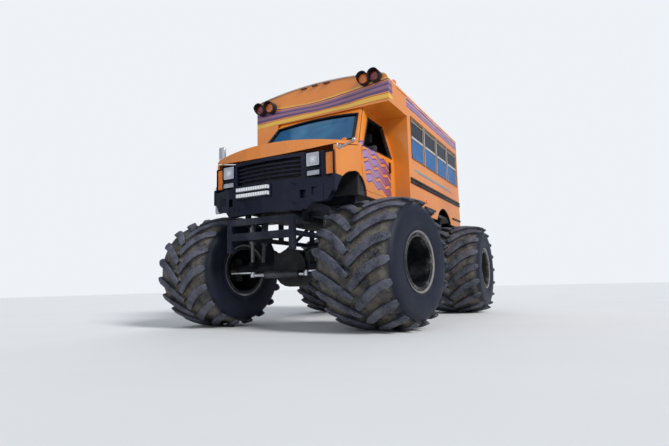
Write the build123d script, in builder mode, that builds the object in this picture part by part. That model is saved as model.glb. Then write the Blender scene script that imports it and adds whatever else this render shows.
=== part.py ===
from build123d import *
import math
import os

os.makedirs("parts", exist_ok=True)

# Axles and wheels: +X is the vehicle's left, +Y its rear, ground at z 0, all in millimetres
front_axle_y = -1905.959
wheelbase = 3643.5
rear_axle_y = front_axle_y + wheelbase
axle_z = 823.0
tyre_r = 825.0
kingpin_x = 1120.0
wheel_offset = 240.0
steer_deg = -8.7

# Clearances that mating pieces share
running = 0.05
hinge_r = 5.0
hinge_h = 40.0
joint_gap = 0.5
seat_gap = 0.3
body_gap = 6.0
past = 20.0

# Bus body, with y counted from the front axle
bus_half = 1220.0
wall = 45.0
skirt_z = 1720.0
floor_z = 1800.0
floor_t = 50.0
eave_z = 3600.0
bend_in = 32.0
bend_up = 92.0
shoulder_in = 120.0
shoulder_z = 3735.0
crown_z = 3830.0
recess_y = 1510.0
cap_y = 747.0
cap_z = 3265.0
rear_y = 4620.0
window_low = 2600.0
window_high = 3300.0
window_w = 645.0
window_pitch = 725.0
window_first = 1680.0
window_rows = 4
glass_t = 8.0

# Van cab, as half width and front face at the belt and at the roof
belt_z = 2500.0
cab_top_z = 3265.0
cab_half_low = 975.0
cab_half_top = 780.0
cab_front_low = 190.0
cab_front_top = 785.0
cab_floor_z = 1800.0
pillar_r = 60.0

# Frame rails and the square tube of the lower frame
rail_x = 435.0
rail_w = 70.0
rail_low = 1560.0
rail_high = 1680.0
tube = 60.0
lower_x = 465.0
lower_z = 1200.0
engine_half = 240.0
engine_front = -440.0
engine_back = 150.0


def fy(y):
    """Distance behind the front axle as a y of the whole model."""
    return front_axle_y + y


def span(x0, x1, y0, y1, z0, z1, mode=Mode.ADD):
    """A block between two corners, y counted from the front axle."""
    with Locations(((x0 + x1) / 2, fy((y0 + y1) / 2), (z0 + z1) / 2)):
        Box(abs(x1 - x0), abs(y1 - y0), abs(z1 - z0), mode=mode)


def side_prism(points, x0, x1, mode=Mode.ADD):
    """A prism whose outline is given in y and z, reaching from x0 to x1."""
    with BuildSketch(Plane((x0, 0, 0), x_dir=(0, 1, 0), z_dir=(1, 0, 0))) as outline:
        with BuildLine():
            Polyline(*[(fy(y), z) for y, z in points], close=True)
        make_face()
    extrude(outline.sketch, amount=x1 - x0, dir=(1, 0, 0), mode=mode)


def front_prism(points, y0, y1, mode=Mode.ADD):
    """A prism whose outline is given in x and z, reaching from y0 to y1."""
    with BuildSketch(Plane((0, fy(y0), 0), x_dir=(1, 0, 0), z_dir=(0, -1, 0))) as outline:
        with BuildLine():
            Polyline(*points, close=True)
        make_face()
    extrude(outline.sketch, amount=y1 - y0, dir=(0, 1, 0), mode=mode)


def bar(start, end, radius, sides=12, mode=Mode.ADD):
    """A straight bar between two points, many sided so that it stays light."""
    along = Vector(*end) - Vector(*start)
    with BuildSketch(Plane(origin=start, z_dir=along)) as outline:
        RegularPolygon(radius, sides)
    extrude(outline.sketch, amount=along.length, dir=along, mode=mode)


def round_bar(start, end, radius, mode=Mode.ADD):
    """A truly round bar between two points, for what turns, slides or takes a bolt."""
    along = Vector(*end) - Vector(*start)
    with BuildSketch(Plane(origin=start, z_dir=along)) as outline:
        Circle(radius)
    extrude(outline.sketch, amount=along.length, dir=along, mode=mode)


def cab_half(z):
    return cab_half_low + (z - belt_z) / (cab_top_z - belt_z) * (cab_half_top - cab_half_low)


def cab_front(z):
    return cab_front_low + (z - belt_z) / (cab_top_z - belt_z) * (cab_front_top - cab_front_low)


def front_slant(inset):
    """How far back the slanted front lies when the cab's form is drawn in by a wall."""
    return inset * math.hypot(cab_front_top - cab_front_low, cab_top_z - belt_z) / (cab_top_z - belt_z)


def cab_body(inset, roof_inset, floor_inset, mode=Mode.ADD):
    """The van cab's outer form with rounded front corners, or that form drawn in by a wall."""
    sections = []
    for z in (belt_z, cab_top_z - roof_inset):
        half = cab_half(z) - inset
        front = cab_front(z) + front_slant(inset)
        with BuildSketch(Plane.XY.offset(z)) as section:
            with Locations((0, fy((front + recess_y) / 2))):
                Rectangle(2 * half, recess_y - front)
            fillet(section.vertices().group_by(Axis.Y)[0], pillar_r - inset)
        sections.append(section.sketch.face())
    top = loft(sections, mode=Mode.PRIVATE)
    base = Solid.extrude(sections[0], Vector(0, 0, cab_floor_z + floor_inset - belt_z))
    add(top.fuse(base), mode=mode)


def roof_prism(drop, y0, y1, mode=Mode.ADD):
    """The roof's rounded section, drawn in by a wall, reaching from y0 to y1."""
    side_x = bus_half - drop
    bend = (bus_half - bend_in - 0.8 * drop, eave_z + bend_up - 0.6 * drop)
    shoulder = (bus_half - shoulder_in, shoulder_z - drop)
    with BuildSketch(Plane((0, fy(y0), 0), x_dir=(1, 0, 0), z_dir=(0, -1, 0))) as outline:
        with BuildLine():
            Line((-side_x, eave_z), (side_x, eave_z))
            ThreePointArc((side_x, eave_z), bend, shoulder)
            ThreePointArc(shoulder, (0, crown_z - drop), (-shoulder[0], shoulder[1]))
            ThreePointArc((-shoulder[0], shoulder[1]), (-bend[0], bend[1]), (-side_x, eave_z))
        make_face()
    extrude(outline.sketch, amount=y1 - y0, dir=(0, 1, 0), mode=mode)


def hinge_knuckle(x, y, z, reach_x, reach_y, carried):
    """One knuckle of an upright hinge with its leaf: the fixed one sits above the carried one."""
    low = z if carried else z + hinge_h + joint_gap
    round_bar((x, y, low), (x, y, low + hinge_h), hinge_r)
    leaf_t = 4.0
    with Locations((x + reach_x / 2, y + reach_y / 2, low + hinge_h / 2)):
        Box(max(abs(reach_x), leaf_t), max(abs(reach_y), leaf_t), hinge_h)


def many_sided_ring(section, sides):
    """The flat-sided pieces of a ring about the x axis, from its section in x and radius."""
    half = math.pi / sides
    with BuildPart() as wedge:
        with BuildSketch(Plane.XZ) as outline:
            with BuildLine():
                Polyline(*section, close=True)
            make_face()
        extrude(outline.sketch, amount=tyre_r * math.tan(half), both=True)
        for side in (1, -1):
            across = Plane((0, 0, 0), x_dir=(1, 0, 0), z_dir=(0, -side * math.cos(half), math.sin(half)))
            split(bisect_by=across, keep=Keep.TOP)
    return [Rot(turn * 360 / sides, 0, 0) * wedge.part for turn in range(sides)]


def export(block, label):
    block.part.label = label
    export_step(block.part, "parts/" + label + ".step")


# Tyre: a carcass with two staggered rows of bent lugs, whose V points down in front
wheel_sides = 12
tyre_bore = 322.0
tyre_half_w = 545.0
crown_half_w = 440.0
crown_r = 752.0
bead_half_w = 505.0
bead_r = 345.0
bulge_r = 620.0
lug_count = 18
lug_root = 660.0
lug_path = [
    # x from the tyre's middle, y, half width, height of the top
    (14, -150, 32, 804.5),
    (285, 52, 39, 818.4),
    (542, 138, 45, 738),
]
carcass_section = [
    (-bead_half_w, tyre_bore),
    (-bead_half_w, bead_r),
    (-tyre_half_w, bulge_r),
    (-crown_half_w, crown_r),
    (crown_half_w, crown_r),
    (tyre_half_w, bulge_r),
    (bead_half_w, bead_r),
    (bead_half_w, tyre_bore),
]


def lug_edge(side):
    """One long edge of the lug seen from outside the tyre, square to its path."""
    points = []
    for place, (x, y, half, top) in enumerate(lug_path):
        before = lug_path[max(place - 1, 0)]
        after = lug_path[min(place + 1, len(lug_path) - 1)]
        run = Vector(after[0] - before[0], after[1] - before[1]).normalized()
        points.append((x - side * half * run.Y, y + side * half * run.X))
    return points


with BuildPart() as lug:
    left_edge = lug_edge(1)
    right_edge = lug_edge(-1)
    with BuildSketch(Plane.XY.offset(lug_root)):
        with BuildLine():
            Polyline(*left_edge, *right_edge[::-1], close=True)
        make_face()
    extrude(amount=tyre_r - lug_root)
    bend_left = Vector(*left_edge[1], lug_path[1][3])
    bend_right = Vector(*right_edge[1], lug_path[1][3])
    for x, y, half, top in (lug_path[0], lug_path[2]):
        level = (bend_left - bend_right).cross(Vector(x, y, top) - bend_right)
        if level.Z < 0:
            level = -level
        split(bisect_by=Plane(bend_right, z_dir=level), keep=Keep.BOTTOM)

with BuildPart() as tyre_form:
    add(many_sided_ring(carcass_section, wheel_sides))
    lugs = []
    for shape, first in ((lug.part, 0.0), (lug.part.mirror(Plane.YZ), 0.5)):
        lugs += [Rot((turn + first) * 360 / lug_count, 0, 0) * shape for turn in range(lug_count)]
    add(lugs)

# Wheels and steered corners, built straight and turned about the kingpins
corners = [
    # name, side, axle y, steered
    ("front_left", 1, front_axle_y, True),
    ("front_right", -1, front_axle_y, True),
    ("rear_left", 1, rear_axle_y, False),
    ("rear_right", -1, rear_axle_y, False),
]
spindle_r = 62.0
rim_bore = 306.0
flange_t = 13.0
disc_x = 190.0
disc_t = 22.0
hub_r = 150.0
hub_out = 330.0
hub_back = 40.0
hub_back_r = 110.0
hub_sides = 16
spindle_past = 6.0


def set_down(part, side, axle_y, steered):
    """Turns a straight corner about its kingpin and sets it on its axle."""
    turn = steer_deg if steered else 0.0
    return Pos(side * kingpin_x, axle_y, axle_z) * Rot(0, 0, turn) * part


for name, side, axle_y, steered in corners:
    middle = side * wheel_offset
    with BuildPart() as tyre:
        add(set_down(Pos(middle, 0, 0) * tyre_form.part, side, axle_y, steered))
    export(tyre, "tyre_" + name)

    flange_out = bead_half_w + flange_t
    rim_section = [
        (middle - side * flange_out, rim_bore),
        (middle - side * flange_out, bead_r),
        (middle - side * bead_half_w, bead_r),
        (middle - side * bead_half_w, tyre_bore),
        (middle + side * bead_half_w, tyre_bore),
        (middle + side * bead_half_w, bead_r),
        (middle + side * flange_out, bead_r),
        (middle + side * flange_out, rim_bore),
        (side * (disc_x + disc_t), rim_bore),
        (side * (disc_x + disc_t), hub_back_r),
        (side * disc_x, hub_back_r),
        (side * disc_x, rim_bore),
    ]
    rim_pieces = many_sided_ring(rim_section, wheel_sides)
    with BuildPart() as rim:
        add(rim_pieces)
        bar((side * disc_x, 0, 0), (side * hub_out, 0, 0), hub_r, hub_sides)
        bar((side * (disc_x - hub_back), 0, 0), (side * (disc_x + disc_t), 0, 0), hub_back_r)
        round_bar((0, 0, 0), (side * hub_out, 0, 0), spindle_r + running, mode=Mode.SUBTRACT)
    rim.part = set_down(rim.part, side, axle_y, steered)
    export(rim, "rim_" + name)

# Steering knuckles: a barrel on the kingpin, a spindle for the wheel and an arm for the drag link
kingpin_r = 30.0
barrel_r = 62.0
barrel_half = 110.0
collar_half = 80.0
arm_u = 360.0
arm_v = 300.0
arm_low = -50.0
arm_t = 34.0
arm_eye_r = 40.0
arm_outline = [
    # x outboard of the kingpin, y behind it
    (20, -20),
    (20, -100),
    (-80, -190),
    (-270, -268),
    (-330, -300),
    (-330, -330),
    (-395, -330),
    (-400, -262),
    (-335, -232),
    (-270, -194),
    (-70, -144),
    (-30, -50),
]
collar_end = disc_x - hub_back - body_gap
for name, side in (("left", 1), ("right", -1)):
    with BuildPart() as knuckle:
        round_bar((0, 0, -barrel_half), (0, 0, barrel_half), barrel_r)
        with Locations((side * collar_end / 2, 0, 0)):
            Box(collar_end, 2 * collar_half, 2 * collar_half)
        round_bar((side * collar_half, 0, 0), (side * (hub_out + spindle_past), 0, 0), spindle_r)
        with BuildSketch(Plane.XY.offset(arm_low)):
            with BuildLine():
                Polyline(*[(side * x, y) for x, y in arm_outline], close=True)
            make_face()
            with Locations((-side * arm_u, -arm_v)):
                Circle(arm_eye_r)
        extrude(amount=arm_t)
        round_bar((0, 0, -barrel_half), (0, 0, barrel_half), kingpin_r + running, mode=Mode.SUBTRACT)
    knuckle.part = set_down(knuckle.part, side, front_axle_y, True)
    export(knuckle, "knuckle_" + name)

# Axles: a tube with a differential, a fork for each kingpin in front and a spindle at each end behind
tube_r = 78.0
diff_r = 262.0
diff_half = 120.0
diff_sides = 20
pinion_r = 85.0
pinion_end = 390.0
fork_in = 985.0
fork_t = 50.0
fork_depth = 130.0
fork_high = 330.0
cheek_t = 48.0
cheek_reach = 195.0
axle_flange_r = 95.0
lower_link_x = 450.0
upper_link_x = 260.0
shock_x = 640.0
brackets = [
    # x either side, height of the middle, width, depth, height
    (lower_link_x, -75, 90, 150, 130),
    (upper_link_x, 130, 80, 130, 180),
    (shock_x, 70, 70, 330, 60),
]


def axle_middle(towards):
    """Axle tube, differential, pinion nose towards +Y or -Y, and brackets, round the origin."""
    bar((-fork_in, 0, 0), (fork_in, 0, 0), tube_r)
    bar((0, -diff_half, 0), (0, diff_half, 0), diff_r, diff_sides)
    bar((0, towards * diff_half, 0), (0, towards * pinion_end, 0), pinion_r)
    for x, middle, width, depth, height in brackets:
        with Locations((-x, 0, middle), (x, 0, middle)):
            Box(width, depth, height)


with BuildPart() as front_axle:
    axle_middle(1)
    cheek_z = barrel_half + joint_gap + cheek_t / 2
    for side in (-1, 1):
        with Locations((side * (fork_in + fork_t / 2), 0, 0)):
            Box(fork_t, fork_depth, fork_high)
        cheek_x = side * (fork_in + cheek_reach / 2)
        with Locations((cheek_x, 0, -cheek_z), (cheek_x, 0, cheek_z)):
            Box(cheek_reach, fork_depth, cheek_t)
        round_bar((side * kingpin_x, 0, -cheek_z), (side * kingpin_x, 0, cheek_z), kingpin_r)
front_axle.part = Pos(0, front_axle_y, axle_z) * front_axle.part
export(front_axle, "front_axle")

with BuildPart() as rear_axle:
    axle_middle(-1)
    for side in (-1, 1):
        bar((side * (fork_in - past), 0, 0), (side * (kingpin_x + collar_end), 0, 0), axle_flange_r)
        round_bar((side * fork_in, 0, 0), (side * (kingpin_x + hub_out + spindle_past), 0, 0), spindle_r)
rear_axle.part = Pos(0, rear_axle_y, axle_z) * rear_axle.part
export(rear_axle, "rear_axle")

# Steering ram across the front axle, with a rod through it and a drag link to each knuckle arm
ram_gap = 3.0
ram_y = -arm_v - ram_gap
ram_z = -95.0
ram_half = 270.0
ram_r = 48.0
ram_foot_x = 225.0
ram_foot_w = 50.0
rod_half = 440.0
rod_r = 24.0
eye_r = 46.0
eye_half = 26.0
link_end_r = 30.0
link_half_w = 12.0
arm_turn = math.radians(steer_deg)
rod_shift = arm_v * math.sin(arm_turn)


def arm_pin(side):
    """The drag link's pin on a knuckle arm, turned with the wheels, from the axle's middle."""
    x = -side * arm_u
    y = -arm_v
    turned_x = x * math.cos(arm_turn) - y * math.sin(arm_turn)
    turned_y = x * math.sin(arm_turn) + y * math.cos(arm_turn)
    return side * kingpin_x + turned_x, turned_y


with BuildPart() as steering_ram:
    round_bar((-ram_half, ram_y, ram_z), (ram_half, ram_y, ram_z), ram_r)
    foot_y = (ram_y - diff_half) / 2
    foot_z = ram_z + ram_foot_w / 2
    with Locations((-ram_foot_x, foot_y, foot_z), (ram_foot_x, foot_y, foot_z)):
        Box(ram_foot_w, -diff_half - ram_y, ram_foot_w)
    round_bar((-ram_half, ram_y, ram_z), (ram_half, ram_y, ram_z), rod_r + running, mode=Mode.SUBTRACT)
steering_ram.part = Pos(0, front_axle_y, axle_z) * steering_ram.part
export(steering_ram, "steering_ram")

with BuildPart() as ram_rod:
    round_bar((rod_shift - rod_half, ram_y, ram_z), (rod_shift + rod_half, ram_y, ram_z), rod_r)
    for end_x in (rod_shift - rod_half, rod_shift + rod_half):
        round_bar((end_x, ram_y, ram_z - eye_half), (end_x, ram_y, ram_z + eye_half), eye_r)
ram_rod.part = Pos(0, front_axle_y, axle_z) * ram_rod.part
export(ram_rod, "ram_rod")

link_low = ram_z + eye_half + joint_gap
link_high = arm_low - joint_gap
for name, side in (("left", 1), ("right", -1)):
    pin_x, pin_y = arm_pin(side)
    end_x = rod_shift + side * rod_half
    with BuildPart() as drag_link:
        with BuildSketch(Plane.XY.offset(link_low)):
            with Locations((pin_x, pin_y), (end_x, ram_y)):
                Circle(link_end_r)
            with BuildLine():
                Polyline(
                    (pin_x, pin_y - link_half_w),
                    (pin_x, pin_y + link_half_w),
                    (end_x, ram_y + link_half_w),
                    (end_x, ram_y - link_half_w),
                    close=True,
                )
            make_face()
        extrude(amount=link_high - link_low)
    drag_link.part = Pos(0, front_axle_y, axle_z) * drag_link.part
    export(drag_link, "drag_link_" + name)

# Frame: four long rails, the beams across them, and posts, shock towers and engine mounts between
rail_front = -599.0
rail_back = 4560.0
front_tube_y0 = -800.0
front_tube_y1 = front_tube_y0 + tube
front_tube_low = 1015.0
front_tube_high = 1450.0
front_post_in = 450.0
front_post_out = 525.0
hanger_y = -405.0
beam_half = 40.0
post_rows = (350, 1250, 2400, 3300, 4300)
tower_half = 190.0
tower_h = 70.0
tower_in = 400.0
mount_y = -100.0
body_beams = [
    # y of the middle, half length
    (300, 850),
    (1150, 850),
    (2000, bus_half - 120),
    (2850, bus_half - 120),
    (3550, bus_half - 120),
    (4400, bus_half - 120),
]
front_bars = [
    # low z, high z
    (1365, front_tube_high),
    (1168, 1263),
]
rail_out = rail_x + rail_w / 2
rail_in = rail_x - rail_w / 2
lower_out = lower_x + tube / 2
lower_in = lower_x - tube / 2

with BuildPart() as frame_rails:
    for side in (-1, 1):
        span(side * rail_in, side * rail_out, rail_front, rail_back, rail_low, rail_high)
        span(side * lower_in, side * lower_out, front_tube_y1, 4330, lower_z, lower_z + tube)
export(frame_rails, "frame_rails")

with BuildPart() as frame_beams:
    for y, half in body_beams:
        span(-half, half, y - beam_half, y + beam_half, rail_high, floor_z)
    for low, high in front_bars:
        span(-front_post_in, front_post_in, front_tube_y0, front_tube_y1, low, high)
    for y in (1020, 2650, 4270):
        span(-lower_in, lower_in, y - tube / 2, y + tube / 2, lower_z, lower_z + tube)
    for y in (1820, 4450):
        span(-rail_in, rail_in, y - beam_half, y + beam_half, rail_low + 10, rail_high - 10)
export(frame_beams, "frame_beams")

with BuildPart() as frame_posts:
    for side in (-1, 1):
        for y in post_rows:
            span(side * lower_in, side * lower_out, y - tube / 2, y + tube / 2, lower_z + tube, rail_low)
        tube_x = (side * lower_in, side * lower_out)
        post_x = (side * front_post_in, side * front_post_out)
        span(*post_x, front_tube_y0, front_tube_y1, front_tube_low, front_tube_high)
        span(*tube_x, front_tube_y1, hanger_y, front_tube_high - tube, front_tube_high)
        span(*tube_x, hanger_y - tube, hanger_y, front_tube_high, rail_low)
        for y in (0, wheelbase):
            tower_x = (side * tower_in, side * (shock_x + 50))
            span(*tower_x, y - tower_half, y + tower_half, rail_low - tower_h, rail_low)
        mount_x = (side * engine_half, side * rail_in)
        span(*mount_x, mount_y - beam_half, mount_y + beam_half, rail_low + 30, rail_low + 90)
export(frame_posts, "frame_posts")

engine_low = 1450.0
engine_high = 2150.0
with BuildPart() as engine_block:
    span(-engine_half, engine_half, engine_front, engine_back, engine_low, engine_high)
export(engine_block, "engine_block")

gearbox_z = 1500.0
gearbox_r = 110.0
case_front = 1640.0
case_back = 2000.0
case_half = 180.0
case_low = 1270.0
shaft_r = 45.0
shaft_z = 1330.0
yoke_r = 60.0
yoke_l = 60.0
with BuildPart() as driveline:
    bar((0, fy(engine_back), gearbox_z), (0, fy(case_front), gearbox_z), gearbox_r)
    span(-case_half, case_half, case_front, case_back, case_low, rail_low + 10)
    for axle, towards, case_y in ((0, 1, case_front + past), (wheelbase, -1, case_back - past)):
        flange_y = axle + towards * pinion_end
        bar((0, fy(flange_y), axle_z), (0, fy(flange_y + towards * yoke_l), axle_z), yoke_r)
        bar((0, fy(flange_y + towards * yoke_l / 2), axle_z), (0, fy(case_y), shaft_z), shaft_r)
export(driveline, "driveline")

link_rows = [
    # x and y at the axle, z above it, x, y and z at the frame, radius
    (lower_link_x, 75, -90, lower_x - 10, 1220, lower_z + 10, 32),
    (upper_link_x, 65, 180, rail_x - 20, 1180, rail_low + 20, 28),
]
with BuildPart() as suspension_links:
    for axle, towards in ((0, 1), (wheelbase, -1)):
        for side in (-1, 1):
            for x0, y0, up, x1, y1, z1, radius in link_rows:
                foot = (side * x0, fy(axle + towards * y0), axle_z + up)
                head = (side * x1, fy(axle + towards * y1), z1)
                bar(foot, head, radius)
export(suspension_links, "suspension_links")

shock_waist_z = 1180.0
shock_rod_r = 30.0
shock_body_r = 52.0
with BuildPart() as shock_absorbers:
    for y in (0, wheelbase):
        for side in (-1, 1):
            for lean in (-1, 1):
                foot = (side * shock_x, fy(y + lean * 120), axle_z + 100)
                waist = (side * (shock_x - 10), fy(y + lean * 135), shock_waist_z)
                head = (side * (shock_x - 20), fy(y + lean * 150), rail_low - tower_h)
                bar(foot, waist, shock_rod_r)
                bar(waist, head, shock_body_r)
export(shock_absorbers, "shock_absorbers")

# Bus body: floor, sides, end walls, roof and the cap over the cab
inner = bus_half - wall
step_y0 = 860.0
step_y1 = 1560.0
door_top = 3150.0
cab_floor_y = cab_front_low + 75
with BuildPart() as bus_floor:
    span(-inner, inner, recess_y + wall, rear_y - wall, floor_z, floor_z + floor_t)
    span(-inner, cab_half_low - wall, cap_y + wall, recess_y + wall, floor_z, floor_z + floor_t)
    span(-cab_half_low + wall, cab_half_low - wall, cab_floor_y, cap_y + wall, floor_z, floor_z + floor_t)
export(bus_floor, "bus_floor")

arch_y = 3400.0
arch_r = 560.0
arch_z = 1420.0
cut_in = inner - past
cut_out = bus_half + past
for name, side, first in (("left", 1, recess_y), ("right", -1, cap_y + wall)):
    with BuildPart() as bus_side:
        span(side * inner, side * bus_half, first, rear_y, skirt_z, cap_z)
        span(side * inner, side * bus_half, recess_y, rear_y, cap_z - past, eave_z)
        cut_x = (side * cut_in, side * cut_out)
        for row in range(window_rows):
            y0 = window_first + row * window_pitch
            span(*cut_x, y0, y0 + window_w, window_low, window_high, mode=Mode.SUBTRACT)
        if side < 0:
            span(*cut_x, step_y0, step_y1, floor_z, door_top, mode=Mode.SUBTRACT)
        arch_middle = (side * cut_in, fy(arch_y), arch_z)
        arch_outer = (side * cut_out, fy(arch_y), arch_z)
        round_bar(arch_middle, arch_outer, arch_r, mode=Mode.SUBTRACT)
    export(bus_side, "bus_side_" + name)

with BuildPart() as bus_front_wall:
    for side, outer, y0 in ((1, inner, recess_y), (-1, bus_half, cap_y)):
        span(side * cab_half_low, side * outer, y0, y0 + wall, skirt_z, cap_z)
        corner = [(side * cab_half_low, belt_z), (side * cab_half_low, cap_z), (side * cab_half_top, cap_z)]
        front_prism(corner, y0, y0 + wall)
export(bus_front_wall, "bus_front_wall")

rear_door_half = 430.0
rear_hinge_x = -rear_door_half + 3
rear_hinge_y = rear_y + hinge_r
rear_hinge_rows = (2050, 2600, 3150)
rear_door_low = 1860.0
rear_door_high = 3380.0
rear_window_in = 540.0
rear_window_out = bus_half - shoulder_in
rear_glass_low = 2650.0
rear_glass_high = 3250.0
rear_glass_half = 310.0
rear_cut = (rear_y - wall - past, rear_y + past)
with BuildPart() as bus_rear_wall:
    span(-inner, inner, rear_y - wall, rear_y, skirt_z, eave_z)
    roof_prism(wall, rear_y - wall, rear_y)
    span(-rear_door_half, rear_door_half, *rear_cut, rear_door_low, rear_door_high, mode=Mode.SUBTRACT)
    for side in (-1, 1):
        window_x = (side * rear_window_in, side * rear_window_out)
        span(*window_x, *rear_cut, rear_glass_low, rear_glass_high, mode=Mode.SUBTRACT)
    for z in rear_hinge_rows:
        hinge_knuckle(rear_hinge_x, fy(rear_hinge_y), z, -18, -8, False)
export(bus_rear_wall, "bus_rear_wall")

with BuildPart() as bus_roof:
    roof_prism(0, recess_y, rear_y)
    roof_prism(wall, recess_y, rear_y, mode=Mode.SUBTRACT)
export(bus_roof, "bus_roof")

with BuildPart() as front_cap:
    roof_prism(0, cap_y, recess_y)
    span(-bus_half, bus_half, cap_y, recess_y, cap_z, eave_z)
    roof_prism(wall, cap_y + wall, recess_y, mode=Mode.SUBTRACT)
    span(-inner, inner, cap_y + wall, recess_y, cap_z + 30, eave_z + 1, mode=Mode.SUBTRACT)
export(front_cap, "front_cap")

# Van cab: a hollow shell with a slanted windscreen, and its door cut from the same form
arch_in = 940.0
arch_foot = 1600.0
fender_arch = [
    # points of a smooth arch from front to back
    (-555, 1640),
    (-400, 1890),
    (-40, 2072),
    (300, 2010),
    (400, 1780),
]


def arch_prism(side, mode=Mode.ADD):
    """The wheel arch's opening, as deep as the outer panels of one side."""
    points = [(fy(y), z) for y, z in fender_arch]
    foot = [(points[-1][0], arch_foot), (points[0][0], arch_foot)]
    with BuildSketch(Plane((side * arch_in, 0, 0), x_dir=(0, 1, 0), z_dir=(1, 0, 0))) as outline:
        with BuildLine():
            ThreePointArc(*points[:3])
            ThreePointArc(*points[2:])
            Polyline(points[-1], *foot, points[0])
        make_face()
    extrude(outline.sketch, amount=cab_half_low + past - arch_in, dir=(side, 0, 0), mode=mode)


door_hinge_x = cab_half_low + hinge_r
door_hinge_y = 262.0
door_hinge_rows = (2140, 2380)
hood_hinge_y = 186.0
hood_hinge_z = 2614.0
hood_hinge_x = 700.0
door_outline = [(265, 1880), (265, 2470), (880, 3165), (1440, 3165), (1480, 2500), (1480, 1880)]
door_hole = [(259, 1874), (259, 2472), (877, 3171), (1456, 3171), (1495, 2500), (1495, 1874)]
door_window = [(330, 2520), (850, 3105), (1385, 3105), (1410, 2560)]
screen_z = (2630, 3150)
screen_rise = 60.0
screen_low = (cab_half(screen_z[0]) - 90, screen_z[0])
screen_high = (cab_half(screen_z[1]) - 75, screen_z[1])
door_in = cab_half_top - 180
door_out = cab_half_low + 125
screen_y = (cab_front_low - 90, cab_front_top + wall)

def screen_prism(mode=Mode.ADD):
    """The windscreen's outline, arched at the top, through the cab's sloping front."""
    with BuildSketch(Plane((0, fy(screen_y[0]), 0), x_dir=(1, 0, 0), z_dir=(0, -1, 0))) as outline:
        with BuildLine():
            top_left = (-screen_high[0], screen_high[1])
            Polyline(top_left, (-screen_low[0], screen_low[1]), screen_low, screen_high)
            ThreePointArc(screen_high, (0, screen_high[1] + screen_rise), top_left)
        make_face()
    extrude(outline.sketch, amount=screen_y[1] - screen_y[0], dir=(0, 1, 0), mode=mode)


with BuildPart() as cab_shell:
    cab_body(0, 0, 0)
    cab_body(wall, wall, -1, mode=Mode.SUBTRACT)
    side_prism(door_hole, door_in, door_out, mode=Mode.SUBTRACT)
    span(-door_out, -door_in, cap_y + wall, recess_y, cab_floor_z, cab_top_z - wall, mode=Mode.SUBTRACT)
    span(-door_out, wall - cab_half_low, cap_y, cap_y + wall, cab_floor_z - 5, cab_top_z, mode=Mode.SUBTRACT)
    screen_prism(Mode.SUBTRACT)
    for side in (-1, 1):
        arch_prism(side, Mode.SUBTRACT)
    for z in door_hinge_rows:
        hinge_knuckle(door_hinge_x, fy(door_hinge_y), z, -8, -18, False)
    for side in (-1, 1):
        near = side * hood_hinge_x
        far = side * (hood_hinge_x + hinge_h)
        span(near, far, hood_hinge_y, 300, hood_hinge_z - hinge_r, hood_hinge_z + hinge_r)
        round_bar((near, fy(hood_hinge_y), hood_hinge_z), (far, fy(hood_hinge_y), hood_hinge_z), hinge_r)
export(cab_shell, "cab_shell")

with BuildPart() as driver_door:
    side_prism(door_outline, door_in, door_out)
    cab_body(0, 0, 0, mode=Mode.INTERSECT)
    cab_body(wall, wall, -1, mode=Mode.SUBTRACT)
    side_prism(door_window, door_in, door_out, mode=Mode.SUBTRACT)
    arch_prism(1, Mode.SUBTRACT)
    for z in door_hinge_rows:
        hinge_knuckle(door_hinge_x, fy(door_hinge_y), z, -8, 18, True)
export(driver_door, "driver_door")

screen_inset = 16.0
with BuildPart() as windscreen:
    screen_prism()
    cab_body(screen_inset, screen_inset, 0, mode=Mode.INTERSECT)
    cab_body(screen_inset + glass_t, screen_inset + glass_t, -1, mode=Mode.SUBTRACT)
export(windscreen, "windscreen")

leaf_w = (step_y1 - step_y0) / 2
pane_w = leaf_w - 70
entry_panes = [(step_y0 + 50 + leaf * (leaf_w - 30), low) for low in (1960, 2580) for leaf in (0, 1)]
pane_h = 520.0
with BuildPart() as entry_door:
    span(-bus_half + glass_t, -inner, step_y0, step_y1, floor_z, door_top)
    for y0, low in entry_panes:
        span(-cut_out, -cut_in, y0, y0 + pane_w, low, low + pane_h, mode=Mode.SUBTRACT)
export(entry_door, "entry_door")

with BuildPart() as rear_door:
    half = rear_door_half - body_gap
    span(-half, half, rear_y - wall, rear_y, rear_door_low + body_gap, rear_door_high - body_gap)
    span(-rear_glass_half, rear_glass_half, *rear_cut, rear_glass_low, rear_glass_high, mode=Mode.SUBTRACT)
    for z in rear_hinge_rows:
        hinge_knuckle(rear_hinge_x, fy(rear_hinge_y), z, 18, -8, True)
export(rear_door, "rear_door")

pane_x = bus_half - wall / 2
rear_pane_y = rear_y - wall / 2
with BuildPart() as bus_windows:
    for side in (-1, 1):
        for row in range(window_rows):
            y0 = window_first + row * window_pitch
            span(side * pane_x, side * (pane_x + glass_t), y0, y0 + window_w, window_low, window_high)
        window_x = (side * rear_window_in, side * rear_window_out)
        span(*window_x, rear_pane_y, rear_pane_y + glass_t, rear_glass_low, rear_glass_high)
    for y0, low in entry_panes:
        span(-pane_x - glass_t, -pane_x, y0, y0 + pane_w, low, low + pane_h)
export(bus_windows, "bus_windows")

with BuildPart() as rear_door_glass:
    glass_x = (-rear_glass_half, rear_glass_half)
    span(*glass_x, rear_pane_y, rear_pane_y + glass_t, rear_glass_low, rear_glass_high)
export(rear_door_glass, "rear_door_glass")

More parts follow.
